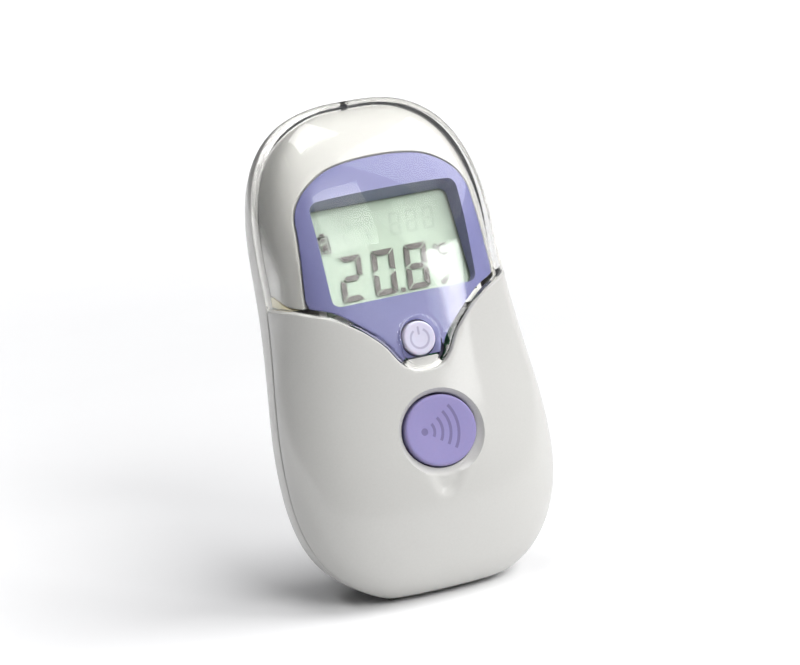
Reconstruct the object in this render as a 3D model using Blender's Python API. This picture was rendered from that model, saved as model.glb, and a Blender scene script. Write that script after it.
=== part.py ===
"""Handheld infrared thermometer, standing on its base and leaning back. Built in millimetres in a body frame (x lateral,
-y towards the user, z along the body from the base), then tilted, scaled to metres and centred on the floor."""

import math

import bmesh
import bpy
import numpy as np
from mathutils import Matrix, Vector
from mathutils.geometry import delaunay_2d_cdt

# Driving dimensions, mm
LENGTH = 100.0
BELLY_Z = 28.0
WAIST_Z = 66.0
BELLY_HALF_WIDTH = 28.8
HEAD_HALF_WIDTH = 25.3
BELLY_FRONT = 15.6
HEAD_FRONT = 14.6
BELLY_REAR = 19.5
HEAD_REAR = 14.0
LEAN = math.radians(13.0)
BELLY_SQUARENESS = 0.03
HEAD_SQUARENESS = 0.06
PARTING = 0.15
WALL = 2.0
SHELL_WALL = 1.6
LINER_DEPTH = 1.95
LINER_WALL = 1.25
BASE_FADE = 15.0

SEAM = (
    (0.0, 43.4), (3.0, 43.9), (5.5, 46.0), (7.4, 49.0), (10.5, 52.3),
    (14.0, 55.0), (18.0, 57.3), (21.5, 58.7), (24.0, 60.0),
)
SEAM_LIMB_Z = 61.5
SEAM_GAP = 0.18

SCAN_Z = 31.0
SCAN_HALF_X = 7.75
SCAN_HALF_Z = 7.15
SCAN_CLEARANCE = 0.28
SCAN_TRAVEL = 0.8
CRATER_DEPTH = 1.3
CRATER_Z = SCAN_Z - 0.4
CRATER_HALF_X = SCAN_HALF_X + 1.6
CRATER_HALF_Z = SCAN_HALF_Z + 1.7
CRATER_FLAT = 0.83
TAIL_TIP_Z = SCAN_Z - 13.6
TAIL_DEPTH = 0.6
TAIL_SWAY = -1.2

POWER_Z = 49.8
POWER_RADIUS = 3.45
SLOT_HALF_X = 4.3
SLOT_BOTTOM_Z = 44.3
SLOT_TOP_Z = 54.4
SILL_HALF_X = 3.7
SILL_LOW_Z = 41.5
SILL_TOP_Z = 46.0
SILL_GAP = 0.3
POWER_TRAVEL = 0.5

BEZEL_HALF_BOTTOM = 22.5
BEZEL_HALF_TOP = 20.9
BEZEL_SHOULDER_Z = 76.0
BEZEL_TOP_Z = 88.6
BEZEL_SEAM_INSET = 0.9

LCD_CENTRE = (0.0, -7.6, 68.7)
LCD_TILT = math.radians(11.0)
LCD_HALF_X = 15.5
LCD_HALF_Z = 10.1
WINDOW_DRAFT = 0.14
WINDOW_CORNER = 1.8

BOARD_Y = 0.0
BOARD_THICK = 1.0
SCREW_SPOTS = ((-18.5, 15.0), (18.5, 15.0), (-20.5, 51.0), (20.5, 51.0))
CELL_RADIUS = 5.2
CELL_LENGTH = 44.0
CELL_X = 5.7
CELL_Y = 8.6
CELL_Z = 10.6
BAY_HALF_X = 12.0
BAY_BOTTOM = 5.2
BAY_TOP = 57.0
DOOR_HALF_X = 13.4
DOOR_BOTTOM = 6.4
DOOR_TOP = 58.4
SENSOR_Y = 4.6
DOMAIN = 22.0


def smooth(low, high, value):
    part = np.clip((value - low) / (high - low), 0, 1)
    return part * part * (3 - 2 * part)


def crown(z):
    """How far up the rounded head a height is, from 0 at the waist to 1 at the top."""
    return np.clip((z - WAIST_Z) / (LENGTH - WAIST_Z), 0, 1)


def reach(z, belly, head, drop, power, round_power, start, end):
    """One profile of the body: a rounded bottom, a smooth change from belly to head and a rounded top."""
    low = np.clip((BELLY_Z - z) / drop, 0, 1)
    bottom = belly * np.power(np.clip(1 - np.power(low, power), 0, 1), 1 / power)
    side = belly - (belly - head) * smooth(start, end, z)
    top = np.power(np.clip(1 - np.power(crown(z), round_power), 0, 1), 1 / round_power)
    return np.where(z < BELLY_Z, bottom, side * top)


def half_width(z, inset=0.0):
    return reach(z, BELLY_HALF_WIDTH - inset, HEAD_HALF_WIDTH - inset, 29.7, 2.5, 2.8, BELLY_Z, WAIST_Z)


def front_depth(z, inset=0.0):
    return reach(z, BELLY_FRONT - inset, HEAD_FRONT - inset, 28.3, 2.2, 2.0, BELLY_Z, WAIST_Z)


def rear_depth(z, inset=0.0):
    return reach(z, BELLY_REAR - inset, HEAD_REAR - inset, 60.0, 2.2, 3.0, 34.0, 84.0)


def squareness(z):
    return BELLY_SQUARENESS + (HEAD_SQUARENESS - BELLY_SQUARENESS) * smooth(40.0, WAIST_Z, z)


def across(theta, z):
    return (np.sin(theta) + squareness(z) * np.sin(3 * theta)) / (1 - squareness(z))


def along(theta, z):
    return (np.cos(theta) - squareness(z) * np.cos(3 * theta)) / (1 - squareness(z))


def base_lift(y, z):
    """The body's lowest sections tip so that the base is level when the body leans back."""
    return z + y * math.tan(LEAN) * np.clip(1 - z / BASE_FADE, 0, 1) ** 2


def skin(theta, z, inset=0.0, rear=False):
    """Points of the body's surface, or of one lying inset millimetres inside it."""
    theta, z = np.broadcast_arrays(np.asarray(theta, float), np.asarray(z, float))
    depth = rear_depth if rear else front_depth
    x = half_width(z, inset) * across(theta, z)
    y = (PARTING + depth(z, inset) * along(theta, z)) * (1 if rear else -1)
    height = np.where(z > WAIST_Z, z - inset * crown(z), z)
    return np.stack([x, y, base_lift(y, height)], -1)


def angle_at(x, z, inset=0.0):
    """The section angle that gives this x, by Newton's method."""
    square = squareness(np.asarray(z, float))
    goal = np.clip(np.asarray(x, float) / half_width(np.asarray(z, float), inset), -1, 1) * (1 - square)
    sine = goal.copy()
    for _ in range(30):
        error = sine * (1 + 3 * square) - 4 * square * sine**3 - goal
        sine = np.clip(sine - error / (1 + 3 * square - 12 * square * sine**2), -1, 1)
    return np.arcsin(sine)


HEIGHTS = np.concatenate([np.linspace(0, 96, 400), LENGTH - np.geomspace(4, 0.0004, 500)])
RUN = np.concatenate([[0], np.cumsum(np.hypot(np.diff(HEIGHTS), np.diff(half_width(HEIGHTS))))])
LIMB = DOMAIN * math.pi / 2


def to_run(z):
    return np.interp(z, HEIGHTS, RUN)


def to_height(run):
    return np.interp(run, RUN, HEIGHTS)


def flat(x, z, inset=0.0):
    """Points given by x and height, in the developed sheet that the shells are cut from."""
    x, z = np.broadcast_arrays(np.asarray(x, float), np.asarray(z, float))
    return np.stack([DOMAIN * angle_at(x, z, inset), to_run(z)], -1)


def resampled(points, step, closed=False):
    points = np.asarray(points, float)
    if closed:
        points = np.concatenate([points, points[:1]])
    lengths = np.concatenate([[0], np.cumsum(np.hypot(*np.diff(points, axis=0).T))])
    count = max(2, int(round(lengths[-1] / step)) + 1)
    at = np.linspace(0, lengths[-1], count)
    out = np.stack([np.interp(at, lengths, points[:, 0]), np.interp(at, lengths, points[:, 1])], -1)
    return out[:-1] if closed else out


def subdivided(points, step):
    """A closed outline with its corners kept and its long sides divided."""
    points = np.asarray(points, float)
    out = []
    for here, there in zip(points, np.roll(points, -1, axis=0)):
        count = max(1, int(round(np.hypot(*(there - here)) / step)))
        out += [here + (there - here) * k / count for k in range(count)]
    return np.array(out)


def shifted(points, distance):
    """A polyline moved sideways, to the left of its direction."""
    slope = np.gradient(points, axis=0)
    slope /= np.linalg.norm(slope, axis=1)[:, None]
    return points + distance * np.stack([-slope[:, 1], slope[:, 0]], -1)


def seam_line(offset, step=1.6):
    """The line between head and front cover in the sheet, from the left limb to the right, moved up by offset."""
    xs, zs = np.array(SEAM).T
    fine = np.linspace(0, xs[-1], 200)
    slopes = np.gradient(zs, xs)
    slopes[0] = 0
    index = np.clip(np.searchsorted(xs, fine, side="right") - 1, 0, len(xs) - 2)
    width = xs[index + 1] - xs[index]
    part = (fine - xs[index]) / width
    rise = (2 * part**3 - 3 * part**2 + 1) * zs[index] + (part**3 - 2 * part**2 + part) * width * slopes[index]
    rise += (3 * part**2 - 2 * part**3) * zs[index + 1] + (part**3 - part**2) * width * slopes[index + 1]
    right = np.concatenate([flat(fine, rise), [[LIMB, float(to_run(SEAM_LIMB_Z))]]])
    whole = np.concatenate([right[:0:-1] * (-1, 1), right])
    whole = shifted(resampled(whole, step), offset)
    whole[0, 0], whole[-1, 0] = -LIMB, LIMB
    return whole


def ellipse(centre_z, half_x, half_z, count, power=2.0):
    turn = np.linspace(0, 2 * math.pi, count, endpoint=False)
    cos, sin = np.cos(turn), np.sin(turn)
    x = half_x * np.sign(cos) * np.abs(cos) ** (2 / power)
    z = centre_z + half_z * np.sign(sin) * np.abs(sin) ** (2 / power)
    return np.stack([x, z], -1)


def slot_outline(half_x, bottom, top, count):
    """A slot with round ends, as x and height."""
    turn = np.linspace(0, math.pi, count)
    upper = np.stack([half_x * np.cos(turn), top - half_x + half_x * np.sin(turn)], -1)
    lower = np.stack([-half_x * np.cos(turn), bottom + half_x * 0.8 - half_x * 0.8 * np.sin(turn)], -1)
    return np.concatenate([upper, lower])


def arch_line(grow, step=1.8):
    """The display bezel's outline above the seam, from the right foot over the top to the left foot."""
    turn = np.linspace(0, math.pi / 2, 40)
    side_z = np.linspace(56.0, BEZEL_SHOULDER_Z, 30)
    share = (side_z - side_z[0]) / (side_z[-1] - side_z[0])
    side_x = BEZEL_HALF_BOTTOM + (BEZEL_HALF_TOP - BEZEL_HALF_BOTTOM) * share + grow
    round_x = (BEZEL_HALF_TOP + grow) * np.cos(turn) ** (2 / 2.3)
    round_z = BEZEL_SHOULDER_Z + (BEZEL_TOP_Z + grow - BEZEL_SHOULDER_Z) * np.sin(turn) ** (2 / 2.3)
    right = np.concatenate([np.stack([side_x, side_z], -1), np.stack([round_x, round_z], -1)[1:]])
    whole = np.concatenate([right, right[-2::-1] * (-1, 1)])
    return resampled(flat(*whole.T), step)


def inside(points, loops):
    hit = np.zeros(len(points), bool)
    for loop in loops:
        after = np.roll(loop, -1, axis=0)
        for (x0, y0), (x1, y1) in zip(loop, after):
            spans = (y0 > points[:, 1]) != (y1 > points[:, 1])
            if y0 != y1:
                cross = (x1 - x0) * (points[:, 1] - y0) / (y1 - y0) + x0
                hit ^= spans & (points[:, 0] < cross)
    return hit


def filled(loops, step):
    """A triangulation of the sheet inside the loops: its points (loops first) and its triangles."""
    rim = np.concatenate(loops)
    low, high = rim.min(axis=0), rim.max(axis=0)
    grid = [
        (x, y)
        for row, y in enumerate(np.arange(low[1] + step / 2, high[1], step * 0.87))
        for x in np.arange(low[0] + step * (0.5 if row % 2 else 1.0), high[0], step)
    ]
    grid = np.array(grid)
    clear = np.array([np.hypot(*(rim - point).T).min() > 0.62 * step for point in grid])
    grid = grid[clear & inside(grid, loops)]
    points = np.concatenate([rim, grid])
    edges = []
    start = 0
    for loop in loops:
        count = len(loop)
        edges += [(start + i, start + (i + 1) % count) for i in range(count)]
        start += count
    verts, _, faces, origin, _, _ = delaunay_2d_cdt(
        [tuple(point) for point in points], edges, [], 0, 1e-6, True
    )
    names = [ids[0] for ids in origin]
    faces = np.array([[names[i] for i in face] for face in faces])
    middle = points[faces].mean(axis=1)
    return points, faces[inside(middle, loops)]


def new_object(name, verts, faces):
    mesh = bpy.data.meshes.new(name)
    mesh.from_pydata([tuple(map(float, v)) for v in verts], [], [tuple(map(int, f)) for f in faces])
    shape = bmesh.new()
    shape.from_mesh(mesh)
    bmesh.ops.recalc_face_normals(shape, faces=shape.faces)
    shape.to_mesh(mesh)
    shape.free()
    obj = bpy.data.objects.new(name, mesh)
    bpy.context.scene.collection.objects.link(obj)
    return obj


def shell(name, loops, step, outer, inner):
    """A closed shell: the sheet inside the loops, laid on two surfaces and joined along every loop."""
    sheet, faces = filled(loops, step)
    top, under = outer(sheet), inner(sheet)
    count = len(sheet)
    verts = np.concatenate([top, under])
    polygons = [tuple(face) for face in faces]
    polygons += [tuple(count + face[::-1]) for face in faces]
    start = 0
    for loop in loops:
        size = len(loop)
        for i in range(size):
            here, there = start + i, start + (i + 1) % size
            polygons.append((there, here, count + here, count + there))
        start += size
    return new_object(name, verts, polygons)


def on_skin(inset, rear=False, drop=None):
    """A function that lays sheet points on the body's surface, moved in by drop."""

    def place(sheet):
        z = to_height(sheet[:, 1])
        theta = sheet[:, 0] / DOMAIN
        if inset:
            outer_x, inner_x = skin(theta, z, 0.0, rear)[:, 0], skin(theta, z, inset, rear)[:, 0]
            share = np.maximum(smooth(0.35, 0.7, np.abs(outer_x) / half_width(z)), smooth(0.75, 0.95, crown(z)))
            theta = angle_at(outer_x * (1 - share) + inner_x * share, z, inset)
        points = skin(theta, z, inset, rear)
        if drop is not None:
            points[:, 1] += drop(points[:, 0], points[:, 2])
        return points

    return place


def crater(x, z):
    """The dish round the scan button, with a soft triangular tail below it."""
    ring = np.hypot(x / CRATER_HALF_X, (z - CRATER_Z) / CRATER_HALF_Z)
    dish = CRATER_DEPTH * (1 - np.clip((ring - CRATER_FLAT) / (1 - CRATER_FLAT), 0, 1) ** 1.6)
    start = CRATER_Z - 5.0
    down = np.clip((start - z) / (start - TAIL_TIP_Z), 0, 1)
    aside = np.abs(x - TAIL_SWAY * down) / (5.6 * (1 - down) + 1.3)
    dimple = TAIL_DEPTH * (1 - smooth(0.4, 1.0, aside)) * (1 - smooth(0.7, 1.0, down))
    return np.where(z < start, np.maximum(dish, dimple), dish)


def spun(name, profile, centre, axis="Y", count=32):
    """A solid of revolution from (radius, distance) pairs along an axis through centre."""
    verts, faces = [], []
    for radius, distance in profile:
        for k in range(count):
            turn = 2 * math.pi * k / count
            a, b = radius * math.cos(turn), radius * math.sin(turn)
            spot = {"X": (distance, a, b), "Y": (a, distance, b), "Z": (a, b, distance)}[axis]
            verts.append([centre[i] + spot[i] for i in range(3)])
    rows = len(profile)
    for row in range(rows - 1):
        for k in range(count):
            a, b = row * count + k, row * count + (k + 1) % count
            faces.append((a, b, b + count, a + count))
    faces.append(tuple(range(count)))
    faces.append(tuple((rows - 1) * count + k for k in range(count)))
    return new_object(name, verts, faces)


def ring_solid(name, profile, centre, axis="Y", count=32):
    """A closed tube-like solid of revolution: the profile's last pair joins its first."""
    verts, faces = [], []
    for radius, distance in profile:
        for k in range(count):
            turn = 2 * math.pi * k / count
            a, b = radius * math.cos(turn), radius * math.sin(turn)
            spot = {"X": (distance, a, b), "Y": (a, distance, b), "Z": (a, b, distance)}[axis]
            verts.append([centre[i] + spot[i] for i in range(3)])
    rows = len(profile)
    for row in range(rows):
        for k in range(count):
            a, b = row * count + k, row * count + (k + 1) % count
            c, d = ((row + 1) % rows) * count + (k + 1) % count, ((row + 1) % rows) * count + k
            faces.append((a, b, c, d))
    return new_object(name, verts, faces)


def box(name, low, high, bevel=0.0):
    corners = [(x, y, z) for z in (low[2], high[2]) for y in (low[1], high[1]) for x in (low[0], high[0])]
    faces = [(0, 2, 3, 1), (4, 5, 7, 6), (0, 1, 5, 4), (2, 6, 7, 3), (0, 4, 6, 2), (1, 3, 7, 5)]
    obj = new_object(name, corners, faces)
    if bevel:
        shape = bmesh.new()
        shape.from_mesh(obj.data)
        bmesh.ops.bevel(shape, geom=shape.edges[:], offset=bevel, segments=1, affect="EDGES")
        shape.to_mesh(obj.data)
        shape.free()
    return obj


def prism(name, outline, low, high, axis="Y"):
    """An outline of (a, b) pairs pushed along an axis. For Y the pairs are x and z, for Z they are x and y."""
    verts = []
    for level in (low, high):
        for a, b in outline:
            verts.append((a, level, b) if axis == "Y" else (a, b, level))
    count = len(outline)
    faces = [tuple(range(count)), tuple(range(2 * count - 1, count - 1, -1))]
    faces += [(i, (i + 1) % count, count + (i + 1) % count, count + i) for i in range(count)]
    return new_object(name, verts, faces)


def rounded(half_x, half_z, radius, centre=(0.0, 0.0), steps=4):
    points = []
    for sx, sz, start in ((1, 1, 0), (-1, 1, 90), (-1, -1, 180), (1, -1, 270)):
        for k in range(steps + 1):
            turn = math.radians(start + 90 * k / steps)
            x = centre[0] + sx * (half_x - radius) + radius * math.cos(turn)
            points.append((x, centre[1] + sz * (half_z - radius) + radius * math.sin(turn)))
    return points


def combine(obj, other, operation):
    """Applies an exact Boolean and removes the second object."""
    modifier = obj.modifiers.new(operation.lower(), "BOOLEAN")
    modifier.operation = operation
    modifier.solver = "EXACT"
    modifier.object = other
    bpy.context.view_layer.update()
    graph = bpy.context.evaluated_depsgraph_get()
    mesh = bpy.data.meshes.new_from_object(obj.evaluated_get(graph))
    obj.modifiers.remove(modifier)
    obj.data = mesh
    bpy.data.objects.remove(other)
    return obj


def join(obj, other):
    return combine(obj, other, "UNION")


def cut(obj, other):
    return combine(obj, other, "DIFFERENCE")


def keep(obj, other):
    return combine(obj, other, "INTERSECT")


def body_solid(name, inset, rear, low=0.0, step=6.0, lateral=None):
    """The solid half of the body inside a given depth, used to trim inner walls."""
    base = [(-LIMB, to_run(low)), (LIMB, to_run(low))]
    crown_run = float(to_run(LENGTH - 0.001))
    loop = base + [(LIMB, crown_run), (-LIMB, crown_run)]
    loop = resampled(np.array(loop, float), step, closed=True)
    sheet, faces = filled([loop], step)
    top = on_skin(inset, rear)(sheet)
    under = top.copy()
    under[:, 1] = 0.0 if rear else -0.0
    under[:, 1] += PARTING * (0.2 if rear else -0.2)
    count = len(sheet)
    polygons = [tuple(face) for face in faces] + [tuple(count + face[::-1]) for face in faces]
    size = len(loop)
    polygons += [((i + 1) % size, i, count + i, count + (i + 1) % size) for i in range(size)]
    return new_object(name, np.concatenate([top, under]), polygons)


# --- covers ---------------------------------------------------------------------------------------------------------


def front_cover():
    base = resampled([(-LIMB, 0.0), (LIMB, 0.0)], 5.0)
    seam = seam_line(-SEAM_GAP)[::-1]
    right = resampled([(LIMB, 0.0), (LIMB, seam[0, 1])], 4.0)
    left = right[::-1] * (-1, 1)
    outline = np.concatenate([base, right[1:-1], seam, left[1:-1]])
    clearance = SCAN_CLEARANCE
    hole = flat(*ellipse(SCAN_Z, SCAN_HALF_X + clearance, SCAN_HALF_Z + clearance, 36)[::-1].T)
    cover = shell("front_cover", [outline, hole], 3.7, on_skin(0.0, drop=crater), on_skin(WALL + 0.2))
    for x, z in SCREW_SPOTS:
        wall = abs(float(skin(angle_at(x, z), z)[1]))
        boss = ring_solid(
            "boss", [(3.0, -wall + 1.1), (3.0, -0.6), (1.25, -0.6), (1.25, -wall + 3.4), (0.02, -wall + 3.4), (0.02, -wall + 1.1)],
            (x, 0.0, z), count=16,
        )
        join(cover, keep(boss, body_solid("trim", 1.1, False)))
    edge = skin(np.linspace(-math.pi / 2, math.pi / 2, 17), 0.0, 0.3)
    sill = [(x, min(y, -0.35)) for x, y, _ in edge]
    floor = prism("floor", sill, 0.2, 2.4, "Z")
    for vertex in floor.data.vertices:
        vertex.co.z += vertex.co.y * math.tan(LEAN)
    join(cover, floor)
    middle = (SILL_TOP_Z + SILL_LOW_Z) / 2
    tab = flat(*np.array(rounded(SILL_HALF_X, middle - SILL_LOW_Z, 0.6, (0, middle))).T)
    return join(cover, shell("tab", [tab], 1.5, on_skin(LINER_DEPTH - 0.05), on_skin(LINER_DEPTH + LINER_WALL)))


def rear_cover():
    crown_run = float(to_run(LENGTH - 0.001))
    base = resampled([(-LIMB, 0.0), (LIMB, 0.0)], 5.0)
    right = resampled([(LIMB, 0.0), (LIMB, crown_run)], 4.0)
    top = resampled([(LIMB, crown_run), (-LIMB, crown_run)], 10.0)
    left = right[::-1] * (-1, 1)
    outline = np.concatenate([base, right[1:-1], top, left[1:-1]])
    opening = rounded(DOOR_HALF_X + 0.3, (DOOR_TOP - DOOR_BOTTOM) / 2 + 0.3, 2.5, (0, (DOOR_TOP + DOOR_BOTTOM) / 2))
    hole = flat(*subdivided(opening, 3.2)[::-1].T)
    cover = shell("rear_cover", [outline, hole], 4.0, on_skin(0.0, True), on_skin(WALL, True))

    tray = box("tray", (-BAY_HALF_X - 3.0, 1.4, BAY_BOTTOM - 1.4), (BAY_HALF_X + 3.0, 20.0, BAY_TOP + 3.0))
    keep(tray, body_solid("trim", WALL + 0.12, True, low=1.0))
    cut(tray, box("bay", (-BAY_HALF_X, 2.6, BAY_BOTTOM), (BAY_HALF_X, 30.0, BAY_TOP)))
    rim = body_solid("rim", WALL - 0.6, True, low=1.0)
    frame = box("frame", (-BAY_HALF_X - 3.0, 8.0, BAY_BOTTOM - 1.4), (BAY_HALF_X + 3.0, 24.0, BAY_TOP + 3.0))
    keep(frame, rim)
    inner = box("inner", (-DOOR_HALF_X - 0.6, 0.0, DOOR_BOTTOM - 0.6), (DOOR_HALF_X + 0.6, 30.0, DOOR_TOP + 0.6))
    cut(frame, inner)
    cut(frame, box("bay", (-BAY_HALF_X, 2.6, BAY_BOTTOM), (BAY_HALF_X, 30.0, BAY_TOP)))
    join(tray, frame)
    join(cover, tray)

    floor_outline = skin(np.linspace(-math.pi / 2, math.pi / 2, 25), 0.0, 0.8, True)
    pad = [(x, y) for x, y, _ in floor_outline][::-1]
    slab = prism("slab", pad, 0.2, 2.0, "Z")
    for vertex in slab.data.vertices:
        vertex.co.z += vertex.co.y * math.tan(LEAN)
    join(cover, slab)
    feet = [(-12.0, 0.7), (-7.4, 0.7), (-7.4, 4.6), (7.4, 4.6), (7.4, 0.7), (12.0, 0.7), (11.0, 12.0), (8.0, 15.6), (-8.0, 15.6), (-11.0, 12.0)]
    foot = prism("foot", feet, -0.8, 1.0, "Z")
    for vertex in foot.data.vertices:
        vertex.co.z += vertex.co.y * math.tan(LEAN)
    join(cover, foot)

    for x, z in SCREW_SPOTS:
        wall = abs(float(skin(angle_at(x, z), z, 0.0, True)[1]))
        post = spun("post", [(3.2, 1.2), (3.2, wall - 0.3)], (x, 0.0, z), count=16)
        join(cover, keep(post, body_solid("trim", 1.1, True)))
        hole = spun("hole", [(1.3, 0.0), (1.3, 5.0), (2.3, 5.0), (2.3, 30.0)], (x, 0.0, z), count=16)
        cut(cover, hole)
    port = spun("port", [(3.9, 90.0), (3.9, 96.0), (4.15, 101.0), (4.15, 110.0)], (0.0, SENSOR_Y, 0.0), "Z", 28)
    return cut(cover, port)


def battery_door():
    half_z = (DOOR_TOP - DOOR_BOTTOM) / 2
    outline = rounded(DOOR_HALF_X, half_z, 2.2, (0, DOOR_BOTTOM + half_z))
    loop = flat(*subdivided(outline, 3.2).T)
    door = shell("battery_door", [loop], 4.0, on_skin(0.0, True), on_skin(1.6, True))
    for height in (49.0, 51.0, 53.0):
        y = float(skin(0.0, height, 0.0, True)[1])
        join(door, box("rib", (-4.0, y - 0.8, height - 0.35), (4.0, y + 0.35, height + 0.35)))
    return door


# --- head -----------------------------------------------------------------------------------------------------------


def head_outline(offset, crown_z, step=4.0):
    seam = seam_line(offset)
    crown_run = float(to_run(crown_z))
    right = resampled([(LIMB, seam[-1, 1]), (LIMB, crown_run)], step)
    top = resampled([(LIMB, crown_run), (-LIMB, crown_run)], 10.0)
    left = right[::-1] * (-1, 1)
    return np.concatenate([seam, right[1:-1], top, left[1:-1]])


def clear_shell():
    slot = flat(*slot_outline(SLOT_HALF_X, SLOT_BOTTOM_Z, SLOT_TOP_Z, 12)[::-1].T)
    loops = [head_outline(SEAM_GAP, LENGTH - 0.001), slot]
    return shell("clear_head_shell", loops, 3.2, on_skin(0.0), on_skin(SHELL_WALL))


def split_at_arch(arch, seam):
    """The part of the arch that lies above the seam."""
    height = np.interp(arch[:, 0], seam[:, 0], seam[:, 1])
    return arch[arch[:, 1] > height]


def filler_line(step=1.6):
    """The head liner's lower edge: it rises from the seam towards each side, which leaves room for the fillers."""
    seam = seam_line(0.0, step)
    lift = 0.55 + 2.0 * smooth(BEZEL_HALF_BOTTOM * 1.1, LIMB, np.abs(seam[:, 0]))
    return np.stack([seam[:, 0], seam[:, 1] + lift], -1)


def head_liner():
    edge = filler_line()
    crown_run = float(to_run(LENGTH - 0.001))
    arch = split_at_arch(arch_line(0.3), edge)
    right_foot = edge[edge[:, 0] > arch[0, 0] + 0.6]
    left_foot = edge[edge[:, 0] < arch[-1, 0] - 0.6]
    right = resampled([(LIMB, edge[-1, 1]), (LIMB, crown_run)], 4.0)
    top = resampled([(LIMB, crown_run), (-LIMB, crown_run)], 10.0)
    left = right[::-1] * (-1, 1)
    outline = np.concatenate([right_foot[:-1], right, top[1:-1], left, left_foot[1:], arch[::-1]])
    return shell("head_liner", [outline], 3.2, on_skin(LINER_DEPTH), on_skin(LINER_DEPTH + LINER_WALL))


def seam_filler(side):
    seam = seam_line(0.2, 1.2)
    upper = filler_line(1.2)
    upper[:, 1] -= 0.3
    low, high = DOMAIN * 1.07, LIMB
    under = seam[(seam[:, 0] > low) & (seam[:, 0] < high + 1e-6)]
    over = upper[(upper[:, 0] > low) & (upper[:, 0] < high + 1e-6)]
    loop = np.concatenate([under, over[::-1]])
    if side < 0:
        loop = (loop * (-1, 1))[::-1]
    name = "seam_filler_right" if side > 0 else "seam_filler_left"
    return shell(name, [loop], 3.0, on_skin(LINER_DEPTH), on_skin(LINER_DEPTH + LINER_WALL))


def lcd_frame():
    """The display's own axes: lateral, up along the glass, and out towards the user."""
    up = np.array([0.0, math.sin(LCD_TILT), math.cos(LCD_TILT)])
    out = np.array([0.0, -math.cos(LCD_TILT), math.sin(LCD_TILT)])
    return np.array(LCD_CENTRE), np.array([1.0, 0.0, 0.0]), up, out


def on_lcd(obj):
    """Turns a piece drawn with x lateral, y out of the glass and z up, from the glass centre, into the body frame."""
    centre, side, up, out = lcd_frame()
    for vertex in obj.data.vertices:
        x, y, z = vertex.co
        vertex.co = centre + x * side + y * out + z * up
    shape = bmesh.new()
    shape.from_mesh(obj.data)
    bmesh.ops.recalc_face_normals(shape, faces=shape.faces)
    shape.to_mesh(obj.data)
    shape.free()
    return obj


def funnel(name, low, high, grow):
    """The tapered well between the bezel and the glass, or the air inside it."""
    verts, count = [], 0
    for level in (low, high):
        extra = grow + WINDOW_DRAFT * level
        ring = rounded(LCD_HALF_X + extra, LCD_HALF_Z + extra, WINDOW_CORNER + grow)
        count = len(ring)
        verts += [(x, level, z) for x, z in ring]
    faces = [tuple(range(count)), tuple(range(2 * count - 1, count - 1, -1))]
    faces += [(i, (i + 1) % count, count + (i + 1) % count, count + i) for i in range(count)]
    return on_lcd(new_object(name, verts, faces))


def display_bezel():
    seam = seam_line(BEZEL_SEAM_INSET, 1.4)
    arch = split_at_arch(arch_line(0.0), seam)
    tongue = seam[(seam[:, 0] < arch[0, 0] - 0.6) & (seam[:, 0] > arch[-1, 0] + 0.6)]
    outline = np.concatenate([tongue, arch])
    bezel = shell("display_bezel", [outline], 3.0, on_skin(LINER_DEPTH), on_skin(LINER_DEPTH + LINER_WALL))
    well = funnel("well", 0.3, 12.0, 0.7)
    keep(well, body_solid("trim", LINER_DEPTH + 0.5, False, low=1.0))
    join(bezel, well)
    cut(bezel, funnel("air", -3.0, 14.0, 0.0))
    cut(bezel, spun("power_hole", [(POWER_RADIUS + 0.35, -30.0), (POWER_RADIUS + 0.35, -3.0)], (0, 0, POWER_Z), count=28))
    notch = SILL_HALF_X + SILL_GAP
    return cut(bezel, box("notch", (-notch, -30.0, 38.0), (notch, -3.0, SILL_TOP_Z + SILL_GAP)))


# --- display stack ---------------------------------------------------------------------------------------------------


def lcd_glass():
    return on_lcd(box("lcd_glass", (-16.2, -1.9, -11.2), (16.2, 0.0, 11.2)))


def lcd_diffuser():
    return on_lcd(box("lcd_diffuser", (-16.0, -3.5, -9.0), (16.0, -2.2, 11.0)))


def lcd_carrier():
    """A wedge-shaped frame that stands on the board and holds the glass at its angle."""
    carrier = on_lcd(box("lcd_carrier", (-17.8, -18.0, -16.0), (17.8, -0.4, 12.7)))
    cut(carrier, on_lcd(box("seat", (-16.5, -3.8, -11.5), (16.5, 3.0, 11.5))))
    cut(carrier, on_lcd(box("light", (-15.0, -30.0, -8.2), (15.0, 1.0, 9.6))))
    keep(carrier, box("above_board", (-30.0, -30.0, 55.0), (30.0, BOARD_Y - 0.3, 95.0)))
    keep(carrier, body_solid("trim", LINER_DEPTH + LINER_WALL + 0.4, False, low=1.0))
    cut(carrier, box("strip_slot", (-14.6, -20.0, 57.5), (14.6, BOARD_Y + 1.0, 59.4)))
    return carrier


def contact_strip():
    return box("lcd_contact_strip", (-14.2, -7.5, 57.9), (14.2, BOARD_Y - 0.3, 59.0))


# --- electronics -----------------------------------------------------------------------------------------------------


def main_board():
    outline = [(-14.5, 12.0), (14.5, 12.0), (14.5, 54.0), (17.2, 57.0), (17.2, 79.0), (14.0, 82.6), (-14.0, 82.6), (-17.2, 79.0), (-17.2, 57.0), (-14.5, 54.0)]
    return prism("main_board", outline, BOARD_Y, BOARD_Y + BOARD_THICK)


def switch_body(name, z, half, depth):
    body = box(name, (-half, -depth, z - half), (half, BOARD_Y - 0.3, z + half))
    return cut(body, spun("bore", [(1.7, -depth - 2.0), (1.7, -1.2)], (0, 0, z), count=20))


def plunger(name, z, tip, root):
    return spun(name, [(1.4, tip), (1.4, root)], (0, 0, z), count=20)


def chip(name, centre, half_x, half_z, height):
    x, z = centre
    low = (x - half_x, BOARD_Y - 0.3 - height, z - half_z)
    return box(name, low, (x + half_x, BOARD_Y - 0.3, z + half_z), 0.15)


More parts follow.
